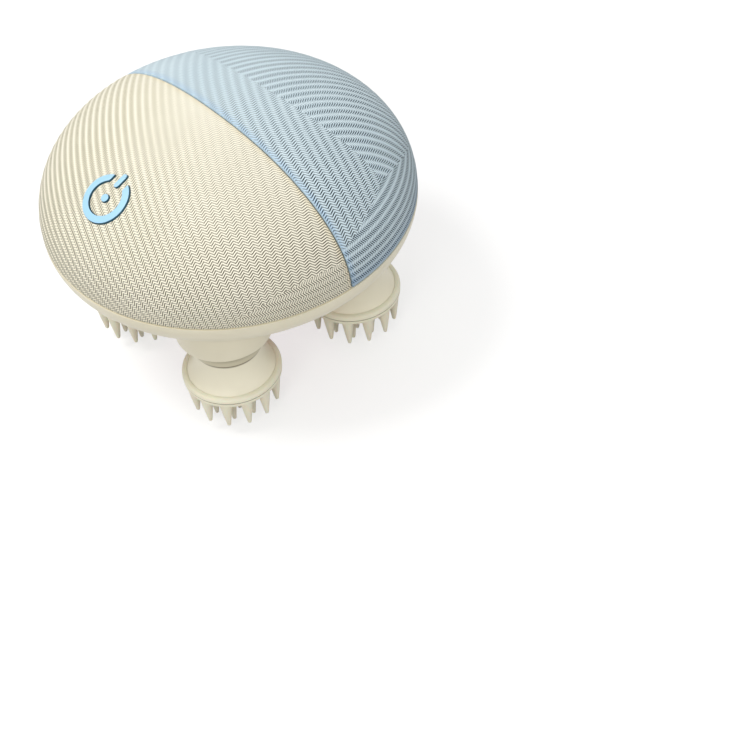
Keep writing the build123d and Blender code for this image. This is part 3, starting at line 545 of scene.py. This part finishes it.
def family(u, v, centre, start, period):
    """Columns that run round a centre: how many across from the start, and how far along."""
    reach = hypot(*centre)
    turned_u = (centre[0] - u) * (centre[0] / reach) + (centre[1] - v) * (centre[1] / reach)
    turned_v = (centre[0] - u) * (-centre[1] / reach) + (centre[1] - v) * (centre[0] / reach)
    return (away(u, v, centre) - start) / period, bearing(turned_v, turned_u) * start


def rim_family(u, v, start, mean_r=60.0):
    """Columns that run along the rim: how many across from the start, and how far along."""
    return (away(u, v, crown) - start) / rim_column_w, bearing(v, u) * mean_r


def cream_columns(u, v):
    """Columns of the front half: nearly straight, and along the rim in its corners.

    Gives the place across the columns, the place along them in stitches, and how much they rib and lean.
    """
    reach, main_along = family(u, v, cream_centre, hypot(*cream_centre), 1.0)
    first, slope, bend, twist = cream_across
    main = first + reach * (slope + reach * (bend - reach * twist))
    rim, rim_along = rim_family(u, v, 0.0)
    by_rim = is_more(u * cream_corner[0] + v * cream_corner[1], cream_corner[2])
    at_rim = is_more(rim * rim_column_w, cream_rim_from)
    by_rim = within(by_rim + at_rim * is_more(u * -1.0, cream_rim_side))
    by_side = within(cream_rib_side - u / cream_rib_side_run)
    ribbed = within((reach - cream_rib_start) / cream_rib_run) * mix(cream_rib_least, 1.0, by_side)
    along = mix(main_along, rim_along, by_rim) / stitch_pitch
    return mix(main, rim, by_rim), along, ribbed, cream_lean


def blue_columns(u, v):
    """Columns of the rear half: three families of nested curves that meet round one place."""
    seam, seam_along = family(u, v, seam_centre, seam_start, seam_column_w)
    side, side_along = family(u, v, side_centre, side_start, side_column_w)
    side_along = side_along * (1 + (side - part_of(side)) * (side_column_w / side_start))
    rim, rim_along = rim_family(u, v, rim_start)
    from_seam, from_side, from_rim = seam * seam_column_w, side * side_column_w, rim * rim_column_w
    by_rim = is_more(from_rim * rim_over_seam, from_seam) * is_more(from_rim * rim_over_side, from_side)
    by_seam = is_more(from_seam * seam_over_side, from_side)

    def chosen(at_side, at_seam, at_rim):
        return mix(mix(at_side, at_seam, by_seam), at_rim, by_rim)

    return (
        chosen(side, seam, rim),
        chosen(side_along / wide_pitch, seam_along * seam_fineness / stitch_pitch, rim_along / wide_pitch),
        chosen(side_ribbed, seam_ribbed, rim_ribbed),
        chosen(side_lean, seam_lean, rim_lean),
    )


def rib_height(across):
    """Rounded rib on one side of each column."""
    return 0.5 - 0.5 * wave(across * (2 * pi))


def cloth_relief(columns, edge_lines):
    """Height of the ribs at points of the unrolled cloth, fading at its edges."""

    def relief(flat):
        across, _, ribbed, _ = columns(flat[:, 0], flat[:, 1])
        near = np.full(len(flat), np.inf)
        for line, closed, _, _ in edge_lines:
            near = np.minimum(near, edge_distance(flat, line, closed))
        fade = np.clip((near - rib_fade_from) / rib_fade_run, 0, 1)
        return cloth_rib_h * ribbed * (rib_height(across) - 0.5) * fade

    return relief


# ---- Materials ----


def linear(colour):
    """Linear values of an sRGB colour given from 0 to 255."""
    made = []
    for part in colour:
        part /= 255
        made.append(part / 12.92 if part <= 0.04045 else ((part + 0.055) / 1.055) ** 2.4)
    return (*made, 1.0)


class Material:
    """A node material round one Principled shader; inputs are named with _ for each space."""

    def __init__(self, name, **inputs):
        self.made = bpy.data.materials.new(name)
        self.made.use_nodes = True
        self.tree = self.made.node_tree
        self.shader = self.tree.nodes["Principled BSDF"]
        for key, value in inputs.items():
            self.shader.inputs[key.replace("_", " ")].default_value = value

    def node(self, kind, **settings):
        """A new node, with its inputs or its own settings set."""
        node = self.tree.nodes.new(kind)
        for key, value in settings.items():
            if key in node.inputs:
                node.inputs[key].default_value = value
            else:
                setattr(node, key, value)
        return node

    def link(self, start, end):
        self.tree.links.new(start, end)

    def coordinates(self, kind="Object"):
        """The object's own coordinates, or its normal."""
        if "place" not in self.tree.nodes:
            self.node("ShaderNodeTexCoord").name = "place"
        return self.tree.nodes["place"].outputs[kind]

    def axes(self, vector):
        """The three parts of a vector."""
        split = self.node("ShaderNodeSeparateXYZ")
        self.link(vector, split.inputs[0])
        return [Value(self.tree, split.outputs[axis]) for axis in "XYZ"]

    def noise(self, scale, detail=3.0, roughness=0.5):
        """Noise over the object's own coordinates; scale is in features per metre."""
        node = self.node("ShaderNodeTexNoise", Scale=scale, Detail=detail, Roughness=roughness)
        self.link(self.coordinates(), node.inputs["Vector"])
        return Value(self.tree, node.outputs["Fac"])

    def height(self):
        """Height in the shared frame at rest, in millimetres."""
        return self.axes(self.coordinates())[2] / MM

    def blend(self, low, high, share):
        """A colour between two, each a colour or another blend's socket."""
        node = self.node("ShaderNodeMix", data_type="RGBA")
        for name, colour in (("A", low), ("B", high)):
            end = next(i for i in node.inputs if i.name == name and i.type == "RGBA")
            if isinstance(colour, bpy.types.NodeSocket):
                self.link(colour, end)
            else:
                end.default_value = linear(colour)
        self.link(share.socket, node.inputs["Factor"])
        return next(o for o in node.outputs if o.type == "RGBA")

    def mottled(self, light, shade, scale=38.0, contrast=1.6, detail=4.0):
        """Soft patches of two colours."""
        share = self.noise(scale, detail) * contrast - (contrast - 1) / 2
        return self.blend(shade, light, within(share))

    def surface(self, colour, gloss, grain):
        """Sets a colour, uneven gloss (scale, spread, least) and grain (scale, detail, depth, strength)."""
        self.link(colour, self.shader.inputs["Base Color"])
        scale, spread, least = gloss
        self.link((self.noise(scale, 4.0) * spread + least).socket, self.shader.inputs["Roughness"])
        scale, detail, depth, strength = grain
        self.bump(self.noise(scale, detail), depth, strength)
        return self.made

    def bump(self, height, distance, strength):
        """Bump of a height from 0 to 1 over a distance in millimetres."""
        node = self.node("ShaderNodeBump", Strength=strength, Distance=distance * MM)
        self.link(height.socket, node.inputs["Height"])
        self.link(node.outputs["Normal"], self.shader.inputs["Normal"])


wander, stitch_wander = 0.06, 0.25  # how far noise moves the columns and the stitches
thread_sharpness, thread_gap = 5.0, 1.7
bound_from, bound_run = 0.2, 0.4  # no gaps between the stitches this near to the cloth's edges
patchiness, plain_light = 0.6, 0.75  # how far noise shades the cloth, and its painted lightness between ribs
gap_shade_least, gap_shade_ribbed, gap_shade_far = 0.14, 0.3, 0.8  # how dark the painted shade in the gaps is anywhere, by ribs, in bold places
rib_hides, rib_hides_ribbed = 0.3, 0.5  # how much of the gaps a rib covers
thread_h, fibre_h, rib_flattens = 0.7, 0.3, 0.6  # shares of the cloth's bump
tint_strength, tint_in_gaps = 0.5, 0.3
seam_tint_run, rim_tint_run = 2.4, 5.5


def cloth_material(name, columns, light, shade, gap, seam_tint, rim_tint, calm_at):
    """Herringbone cloth: each column has a trough of bold stitches and a smoother part, its rib. light and
    shade are the painted highlight on the ribs and the painted shade beside them.

    gap is the colour between the stitches, painted shade. The tints run along the seam and the rim. calm_at
    is the centre, radius and run of a place where the stitches are faint, their painted shade growing away
    from it.
    """
    made = Material(name, Roughness=0.85, Sheen_Weight=0.12, Sheen_Roughness=0.5, Specular_IOR_Level=0.2)
    u, v, _ = made.axes(made.node("ShaderNodeUVMap", uv_map="cloth").outputs["UV"])
    wobble = made.noise(260.0, 2.0) - 0.5
    across, along, ribbed, lean = columns(u, v)
    across = across + wobble * wander
    fold = size_of(part_of(across) - 0.5) * column_w
    stitch = part_of(along + fold * lean + wobble * stitch_wander)
    thread = within((1 - size_of(stitch * 2 - 1)) * thread_sharpness - thread_gap)
    rib = rib_height(across)
    from_seam, from_rim = size_of(v), dome_reach - away(u, v, crown)
    edge = within((from_seam.made("MINIMUM", from_rim) - bound_from) / bound_run)
    # How strong the painted shade between the stitches is, growing away from the calm place.
    calm_centre, calm_r, calm_run = calm_at
    bold = within((away(u, v, calm_centre) - calm_r) / calm_run)

    # Painted highlight on the ribs and painted shade beside them, with random patches.
    lit = rib * rib * ribbed + (made.noise(45.0, 3.0) - 0.5) * patchiness + (1 - ribbed) * plain_light
    body = made.blend(shade, light, within(lit))
    # Painted shade in the gaps between the stitches, where no rib covers it.
    hidden = rib * (rib_hides + ribbed * rib_hides_ribbed)
    depth = gap_shade_least + ribbed * gap_shade_ribbed + bold * gap_shade_far
    body = made.blend(body, gap, within((1 - thread) * (1 - hidden) * depth * edge))
    for tint, distance, run in ((seam_tint, from_seam, seam_tint_run), (rim_tint, from_rim, rim_tint_run)):
        share = within(1 - distance / run) * tint_strength * mix(tint_in_gaps, 1.0, thread)
        body = made.blend(body, tint, share)
    made.link(body, made.shader.inputs["Base Color"])
    threads = thread * (1 - rib * rib_flattens * ribbed) * edge
    made.bump(threads * thread_h + made.noise(2600.0, 3.0) * fibre_h, 0.28, 0.8)
    return made.made


def moulded(made, colour, roughness=0.38, grain=0.02):
    """Finishes a moulded plastic with fine grain and uneven gloss."""
    made.shader.inputs["Specular IOR Level"].default_value = 0.45
    return made.surface(colour, (160.0, 0.12, roughness - 0.06), (2400.0, 3.0, grain, 0.6))


def plastic_material(name, light, shade, roughness=0.38):
    """Moulded plastic with faint mottling."""
    made = Material(name)
    return moulded(made, made.mottled(light, shade), roughness)


def hub_material_with_painted_shade():
    """The heads' plastic, with painted shade from the turret above: a dark line under the neck and a neck
    that darkens upwards.
    """
    made = Material("hub_plastic")
    skin = made.mottled((248, 242, 220), (236, 229, 205))
    above = made.height() - neck_bottom_z
    # Painted shade: the dark line under the neck, the darker neck, and its darker upper part.
    for colour, start, run in (
        ((126, 117, 92), -1.5, 0.6),
        ((206, 198, 172), 0.0, 0.15),
        ((176, 168, 142), 1.2, 1.2),
    ):
        skin = made.blend(skin, colour, within((above - start) / run))
    return moulded(made, skin, 0.36)


wall_shade_from, wall_shade_run = 0.72, 0.2  # cosines of the angle to the facing direction


def symbol_material(name, light, shade, wall_shade, facing):
    """Moulded plastic whose side walls, turned away from the facing direction, are darker with painted
    shade.
    """
    made = Material(name)
    turned = made.node("ShaderNodeVectorMath", operation="DOT_PRODUCT")
    turned.inputs[1].default_value = facing
    made.link(made.coordinates("Normal"), turned.inputs[0])
    # Painted shade on the symbol's side walls.
    walls = within((wall_shade_from - Value(made.tree, turned.outputs["Value"])) / wall_shade_run)
    return moulded(made, made.blend(made.mottled(light, shade), wall_shade, walls), 0.4, 0.008)


# How wide and how dark the line of painted shade along the pads' groove is.
groove_shade_edge, groove_shade_fade, groove_shade_strength = 1.6, 0.14, 0.8


def silicone_material(name, light, shade, line=None):
    """Soft silicone: matt and faintly translucent. line is the height and colour of a darker line of
    painted shade, as in a groove.
    """
    made = Material(
        name,
        Sheen_Weight=0.12,
        Sheen_Roughness=0.4,
        Subsurface_Weight=0.12,
        Subsurface_Scale=0.002,
        Specular_IOR_Level=0.4,
    )
    skin = made.mottled(light, shade, 60.0, 1.5)
    # Painted shade: a dark line where the groove lies.
    if line:
        groove_shade_z, groove_shade_colour = line
        near = within(groove_shade_edge - size_of(made.height() - groove_shade_z) / groove_shade_fade)
        skin = made.blend(skin, groove_shade_colour, near * groove_shade_strength)
    return made.surface(skin, (220.0, 0.14, 0.42), (3000.0, 2.0, 0.015, 0.5))


def metal_material(name, light, shade, roughness=0.3):
    """Turned or pressed metal with a fine, uneven polish."""
    made = Material(name, Metallic=1.0)
    skin = made.mottled(light, shade, 500.0, 1.4, 5.0)
    return made.surface(skin, (900.0, 0.2, roughness - 0.1), (1800.0, 2.0, 0.01, 0.5))


def glow_material(name, base, bright, strength, reach, places):
    """Lit plastic, brightest over each place and fading outwards."""
    made = Material(name, Roughness=0.22, Emission_Strength=strength)
    x, y = (part / MM for part in made.axes(made.coordinates())[:2])
    nearest = away(x, y, places[0])
    for place in places[1:]:
        nearest = nearest.made("MINIMUM", away(x, y, place))
    heart = 1 - within(nearest / reach)
    lit = made.blend(base, bright, within(heart * heart * (made.noise(700.0, 2.0) * 0.2 + 0.9)))
    made.link(lit, made.shader.inputs["Base Color"])
    made.link(lit, made.shader.inputs["Emission Color"])
    made.bump(made.noise(1500.0, 2.0), 0.02, 0.4)
    return made.made


key_from_axis = 39.8
key_plane = dome.tangent_frame(key_from_axis, -pi / 2)
# The symbol's third colour is painted shade for its side walls.
symbol_blue, symbol_shade, symbol_wall_shade = (170, 214, 244), (158, 205, 238), (34, 84, 104)
# The pads' third colour is painted shade for their groove.
pad_light, pad_shade, pad_groove_shade = (248, 242, 220), (236, 229, 204), (120, 110, 84)
materials = {
    # light and shade are the cloths' painted highlight and painted shade of the ribs; gap is painted shade
    # between the stitches.
    "fabric_cream": cloth_material(
        "cream_cloth",
        cream_columns,
        light=(254, 249, 231),
        shade=(235, 229, 204),
        gap=(54, 46, 26),
        seam_tint=(248, 228, 176),
        rim_tint=(236, 230, 206),
        calm_at=((-25.0, 5.0), 14.0, 66.0),
    ),
    "fabric_blue": cloth_material(
        "blue_cloth",
        blue_columns,
        light=(222, 239, 246),
        shade=(192, 212, 222),
        gap=(16, 28, 38),
        seam_tint=(128, 174, 220),
        rim_tint=(86, 128, 172),
        calm_at=((-45.0, 12.0), 12.0, 74.0),
    ),
    "housing_plastic": plastic_material("ivory_plastic", (240, 233, 210), (226, 218, 192)),
    "hub_plastic": hub_material_with_painted_shade(),
    "key_plastic": symbol_material("sky_plastic", symbol_blue, symbol_shade, symbol_wall_shade, key_plane[-1]),
    "pad_silicone": silicone_material("ivory_silicone", pad_light, pad_shade, (groove_z, pad_groove_shade)),
    "window_plastic": glow_material("red_window", (168, 8, 16), (236, 30, 26), 0.45, 5.0, led_places),
    "red_led": glow_material("red_led", (214, 40, 16), (255, 132, 44), 0.9, 2.9, led_places),
    "lens_plastic": glow_material("lens", (168, 40, 214), (255, 236, 255), 2.2, 6.2, [crown]),
}
for made_of, name, *look in (
    (plastic_material, "cover_plastic", (122, 116, 102), (108, 102, 90)),
    (plastic_material, "gear_plastic", (238, 236, 228), (224, 222, 212), 0.42),
    (plastic_material, "inner_plastic", (92, 94, 98), (76, 78, 82), 0.5),
    (silicone_material, "seal_rubber", (46, 46, 48), (34, 34, 36)),
    (metal_material, "steel", (205, 206, 208), (176, 178, 182)),
    (metal_material, "brass", (214, 182, 110), (186, 150, 84)),
    (metal_material, "motor_can", (186, 188, 190), (160, 162, 166), 0.38),
    (plastic_material, "board", (26, 104, 62), (16, 84, 48), 0.4),
    (plastic_material, "switch_black", (34, 34, 36), (24, 24, 26), 0.45),
    (plastic_material, "cell_wrap", (52, 108, 176), (40, 90, 156), 0.3),
):
    materials[name] = made_of(name, *look)

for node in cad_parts.values():
    for slot in node.material_slots:
        slot.material = materials[slot.material.name]


# ---- Power key: symbol standing through the cloth ----

ring_outer_r, ring_inner_r, ring_gap_half_w, ring_corner_r = 7.5, 5.4, 3.0, 0.55
bar_y, bar_l, bar_w, dot_r = 6.4, 4.8, 1.5, 1.2
symbol_proud, symbol_t, symbol_opening_gap = 0.55, 5.2, 0.14
keycap_r, keycap_ear_r, keycap_ear_x, keycap_depth, keycap_t = 9.0, 3.5, 11.0, 4.7, 1.4


def ring_outline(grow):
    """Open ring of the power symbol in the key's plane."""
    outer, inner, gap = ring_outer_r + grow, ring_inner_r - grow, ring_gap_half_w - grow
    outer_end, inner_end = np.degrees(np.arccos([gap / outer, gap / inner]))
    outside = arc((0, 0), outer, outer_end, -180 - outer_end, 84)
    inner_side = arc((0, 0), inner, -180 - inner_end, inner_end, 66)
    return soften(np.concatenate([outside, inner_side]), ring_corner_r + grow / 2)[::-1]


def symbol_outlines(grow):
    """Ring, bar and dot of the power symbol, grown sideways."""
    bar = slot_loop((0, bar_y), bar_l + 2 * grow, bar_w + 2 * grow, upright=True)
    dot = arc((0, 0), dot_r + grow, 0, 345, 24)
    return [ring_outline(grow), bar, dot]


def on_key(flat, inset):
    """Puts points of the key's plane on the dome."""
    return dome.projected(key_plane, flat, inset)


def on_keycap(flat, inset):
    """Puts points of the key's plane on the flat keycap."""
    origin, x_axis, y_axis, normal = key_plane
    return origin + flat[:, :1] * x_axis + flat[:, 1:] * y_axis - (inset + keycap_depth)[:, None] * normal


keycap = np.concatenate([
    arc((0, 0), keycap_r, 24, 156, 30),
    arc((-keycap_ear_x, 0), keycap_ear_r, 90, 270, 14),
    arc((0, 0), keycap_r, 204, 336, 30),
    arc((keycap_ear_x, 0), keycap_ear_r, -90, 90, 14),
])
symbol = Form()
for outline in symbol_outlines(0.0):
    closed_sheet(
        symbol,
        [outline],
        lambda flat, inset: on_key(flat, inset - symbol_proud),
        symbol_t,
        spacing=0.4,
        edges=[(outline, True, 0.16, 0.12)],
        layers=[0.05, 0.12, 0.3],
    )
closed_sheet(symbol, [keycap], on_keycap, keycap_t, spacing=3.0)
key_piece = make_piece("power_symbol", symbol, "key_plastic", "key")
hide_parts("power_key")


# ---- Cloth halves ----


def seam_line(side):
    """The half's edge along the seam, unrolled, from -x to +x."""
    reach = dome.r[dome.r > seam_half_w]
    share = np.linspace(0, 1, seam_samples)
    pick = np.interp(share, np.linspace(0, 1, len(reach)), np.arange(len(reach)))
    radius = reach[pick.astype(int)]
    x = np.sqrt(radius**2 - seam_half_w**2)
    x = np.concatenate([-x[::-1], x[1:]])
    return dome.unroll(np.column_stack([x, np.full(len(x), side * seam_half_w)]))


def even_line(line, step):
    """A line of points with even steps."""
    lengths = np.concatenate([[0], np.cumsum(np.linalg.norm(np.diff(line, axis=0), axis=1))])
    count = max(2, int(round(lengths[-1] / step)) + 1)
    at = np.linspace(0, lengths[-1], count)
    return np.column_stack([np.interp(at, lengths, part) for part in line.T])


def cloth_half(name, side, columns, slot, holes, node):
    """One half of the cloth, a closed sheet with rolled edges and ribs on its outside."""
    seam = even_line(seam_line(side), seam_step)
    rim_s = dome.s[-1]
    end = np.degrees(np.arctan2(abs(seam[-1, 1]), abs(seam[-1, 0])))
    rim = arc((0, 0), rim_s, side * end, side * (180 - end), rim_count)
    loop = np.concatenate([seam, rim[1:-1]])
    edges = [(seam, False, *seam_roll), (rim, False, *rim_roll)]
    edges += [(hole, True, *symbol_roll) for hole in holes]
    relief = cloth_relief(columns, edges)
    form = Form()
    closed_sheet(form, [loop, *holes], dome.unrolled, fabric_t, cloth_spacing, edges, edge_layers, relief)
    cloth = make_piece(name, form, slot, "housing", unrolled=True, crease=50)
    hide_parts(node)


grown = symbol_outlines(symbol_opening_gap)
holes = [dome.unroll(on_key(outline, np.zeros(len(outline)))) for outline in grown]
cloth_half("front_cloth", -1, cream_columns, "fabric_cream", holes, "front_fabric")
cloth_half("rear_cloth", 1, blue_columns, "fabric_blue", [], "rear_fabric")


# ---- Heads: hub and clawed pad ----

groove_r, wrap_top_z, disc_top_z, disc_z, pad_z = 10.1, 17.15, 16.65, 15.3, 14.3
flare_bend_r, foot_r, disc_r = 11.0, 13.34, 14.3
cavity_r, ceiling_z, shaft_r = 8.5, 33.6, 2.02
boss_r, boss_z = 4.4, 19.0
claw_rings = [(13, 12.9, 3.7, 7.2), (8, 8.0, 1.1, 0.0), (4, 2.8, 0.0, 62.0)]  # count, radius, tip's z, turn
claw_r, claw_tip_r, claw_power = 1.95, 0.62, 1.18
pad_r, pad_lip_r, pad_face_r, pad_face_spacing = 15.1, 13.4, 14.9, 1.6
lip_gap, disc_gap = 0.02, 0.05
plug_gap, plug_h, plug_wall = 0.1, 2.5, 1.2
round_steps, claw_steps = 120, 24


def hub_profile():
    """Half section of a hub, from the shaft's hole over the outside to the cavity."""
    bend_z = wrap_top_z + (flare_bend_r**2 - (flare_bend_r - foot_r + groove_r) ** 2) ** 0.5
    bend = [
        (groove_r + flare_bend_r * (1 - cos(t)), bend_z - flare_bend_r * sin(t))
        for t in np.linspace(0, np.arccos(1 - (foot_r - groove_r) / flare_bend_r), 14)
    ]
    return profile(
        (shaft_r, neck_top_z),
        (neck_r, neck_top_z, 0.4),
        (neck_r, neck_bottom_z, 0.35),
        (groove_r, neck_bottom_z - 0.6, 0.2),
        *bend[:-1],
        (foot_r, wrap_top_z, 0.06),
        (foot_r, disc_top_z),
        (disc_r, disc_top_z),
        (disc_r, disc_z),
        (cavity_r, disc_z),
        (cavity_r, ceiling_z),
        (boss_r, ceiling_z),
        (boss_r, boss_z),
        (shaft_r, boss_z),
    )


def claw_profile(length):
    """Bullet-shaped claw as (radius, distance from its foot) rows, up to its rounded tip."""
    rows = []
    straight = length - claw_tip_r
    for share in np.linspace(0, 1, 9):
        radius = claw_tip_r + (claw_r - claw_tip_r) * (1 - share**claw_power)
        rows.append((radius, straight * share))
    for turn in np.linspace(0.25, 0.85, 4) * pi / 2:
        rows.append((claw_tip_r * cos(turn), straight + claw_tip_r * sin(turn)))
    return rows


def clawed_pad(place):
    """Pad that wraps the hub's disc, with its claws growing out of its face."""
    form = Form()
    outline = arc((0, 0), pad_face_r, 0, 360 * (1 - 1 / round_steps), round_steps)
    claws = [
        (x, y, pad_z - tip_z)
        for count, ring_r, tip_z, turn in claw_rings
        for x, y in ring_places(ring_r, turn, count)
    ]
    feet = [arc((x, y), claw_r, 0, 360 * (1 - 1 / claw_steps), claw_steps) for x, y, _ in claws]
    loops = [outline, *feet]
    inner = region_points(loops, pad_face_spacing)
    flat = np.concatenate([*loops, inner]) + np.array(place)
    face = form.add(np.column_stack([flat, np.full(len(flat), pad_z)]))
    form.fill(face, triangles(loops, inner))
    first = round_steps
    around = np.arange(claw_steps) * 2 * pi / claw_steps
    for x, y, length in claws:
        x, y = place[0] + x, place[1] + y
        ring = face[first : first + claw_steps]
        first += claw_steps
        for radius, out in claw_profile(length)[1:]:
            circle = [x + radius * np.cos(around), y + radius * np.sin(around)]
            lower = form.add(np.column_stack([*circle, np.full(claw_steps, pad_z - out)]))
            form.join(ring, lower)
            ring = lower
        form.join(ring, form.add([(x, y, pad_z - length)]))
    plug_r = cavity_r - plug_gap
    rim = profile(
        (pad_face_r, pad_z),
        (pad_r - 0.1, pad_z, 0.05),
        (pad_r - 0.1, pad_z + 0.95, 0.15),
        (pad_r - 0.5, pad_z + 1.12, 0.06),
        (pad_r, pad_z + 1.3, 0.25),
        (pad_r, wrap_top_z, 1.2),
        (pad_lip_r, wrap_top_z, 0.08),
        (pad_lip_r, disc_top_z + lip_gap),
        (disc_r + disc_gap, disc_top_z + lip_gap),
        (disc_r + disc_gap, disc_z),
        (plug_r, disc_z),
        (plug_r, disc_z + plug_h, 0.3),
        (plug_r - plug_wall, disc_z + plug_h, 0.3),
        (plug_r - plug_wall, disc_z),
        (0.0, disc_z),
    )
    start, _ = form.lathe(rim[1:], round_steps, place)
    form.join(face[:round_steps], start)
    return form


for number, place in enumerate(head_places, 1):
    hub = Form()
    top, bottom = hub.lathe(hub_profile(), round_steps, place)
    hub.join(bottom, top)
    hub_piece = make_piece(f"hub_{number}", hub, "hub_plastic", f"head_{number}")
    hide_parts(f"head_hub_{number}")
    pad_piece = make_piece(f"pad_{number}", clawed_pad(place), "pad_silicone", f"head_{number}")
    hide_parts(f"claw_pad_{number}")


# ---- Port cover, with a finger slot and a raised charging sign ----

port_from_axis, port_t = 43.0, 1.6
finger_slot, finger_slot_depth = slot_loop((0, 5.7), 8.8, 1.1), 0.8
sign_line_w, sign_h, sign_t = 0.28, 0.14, 0.4
port_plane = bowl.tangent_frame(port_from_axis, pi / 2)
port_outline = rounded_box((-8.2, -6.0), (8.2, 7.6), 3.2)


def on_port(flat, inset):
    """Puts points of the port's plane on the bowl."""
    return bowl.projected(port_plane, flat, inset)


def framed(low, high):
    """Outer and inner outline of a rectangular frame of the sign."""
    inner = np.array(low) + sign_line_w, np.array(high) - sign_line_w
    return [rounded_box(low, high, 0.45), rounded_box(*inner, 0.2)]


port = Form()
closed_sheet(
    port,
    [port_outline],
    on_port,
    port_t,
    spacing=0.7,
    edges=[(port_outline, True, 0.5, 0.35)],
    layers=edge_layers[:-1],
    pits=[(finger_slot, finger_slot_depth)],
)
plug, battery = framed((-2.0, 0.9), (2.0, 2.9)), framed((-2.9, -3.9), (2.9, 0.7))
bolt = np.array([(0.5, -0.2), (-1.0, -1.9), (-0.1, -1.9), (-0.6, -3.2), (1.0, -1.4), (0.1, -1.4)])
for loops in (plug, battery, [bolt]):
    closed_sheet(port, loops, lambda flat, inset: on_port(flat, inset - sign_h), sign_t, spacing=0.6)
port_piece = make_piece("port_flap", port, "pad_silicone", "port_flap")
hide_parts("port_cover")


# ---- Floor, light and camera ----

white, warm_white = (1.0, 1.0, 1.0), (1.0, 0.99, 0.97)
floor_half, floor_gap = 6.0, 0.0002
floor_grey = 0.43
floor_glow, floor_glow_more = 0.62, 0.2  # near the object, and how much more far from it
floor_glow_from, floor_glow_run = 0.2, 0.4
world_light = 0.6

corners = [(-1, -1), (1, -1), (1, 1), (-1, 1)]
floor_mesh = bpy.data.meshes.new("floor")
floor_mesh.from_pydata([(x * floor_half, y * floor_half, 0) for x, y in corners], [], [(0, 1, 2, 3)])
floor = new_object("floor", floor_mesh)
floor.location.z = -floor_gap


def shown_white(tree):
    """1 for what the camera, a mirror or clear plastic shows, and 0 for the light on the object."""
    path = tree.nodes.new("ShaderNodeLightPath")
    seen = Value(tree, path.outputs["Is Camera Ray"]) + Value(tree, path.outputs["Is Glossy Ray"])
    return within(seen + Value(tree, path.outputs["Is Transmission Ray"]))


floor_look = Material(
    "floor_paper",
    Roughness=0.9,
    Base_Color=(floor_grey, floor_grey, floor_grey, 1.0),
    Emission_Color=(*white, 1.0),
)
from_middle = away(*floor_look.axes(floor_look.coordinates())[:2], crown)
far = within((from_middle - floor_glow_from) / floor_glow_run)
glow = shown_white(floor_look.tree) * (floor_glow + floor_glow_more * far)
floor_look.link(glow.socket, floor_look.shader.inputs["Emission Strength"])
floor_mesh.materials.append(floor_look.made)

world = bpy.data.worlds.new("studio")
bpy.context.scene.world = world
world.use_nodes = True
background = world.node_tree.nodes["Background"]
background.inputs["Color"].default_value = (*white, 1.0)
strength = mix(world_light, 1.0, shown_white(world.node_tree))
world.node_tree.links.new(strength.socket, background.inputs["Strength"])


def area_light(name, place, size, power, colour):
    """A square lamp aimed at the middle of the object."""
    lamp = bpy.data.lights.new(name, "AREA")
    lamp.size, lamp.energy, lamp.color = size, power, colour
    obj = new_object(name, lamp)
    obj.location = place
    obj.rotation_mode = "QUATERNION"
    obj.rotation_quaternion = (Vector(body_middle) - Vector(place)).to_track_quat("-Z", "Y")


body_middle = (0.0, 0.0, 0.05)
area_light("key", (-0.16, -0.34, 0.86), 0.25, 3.7, warm_white)
area_light("front", (0.42, -0.62, 0.62), 0.3, 1.8, warm_white)
area_light("fill", (0.75, 0.10, 0.34), 0.4, 0.6, white)

camera_data = bpy.data.cameras.new("camera")
camera_data.lens, camera_data.sensor_width = 76.5, 36.0
camera_data.clip_start, camera_data.clip_end = 0.01, 50.0
camera = new_object("camera", camera_data)
bpy.context.scene.camera = camera
# Solved from the photograph's upper view, where the object stands left of and above the picture's middle.
right, up, back = (0.66295, 0.74647, -0.05727), (-0.53051, 0.52236, 0.66761), (0.52826, -0.41221, 0.74231)
camera_place = (0.30716, -0.19089, 0.36737)
camera.matrix_world = Matrix([*zip(right, up, back, camera_place), (0, 0, 0, 1)])

bpy.context.scene.view_settings.view_transform = "Standard"

bpy.context.view_layer.update()
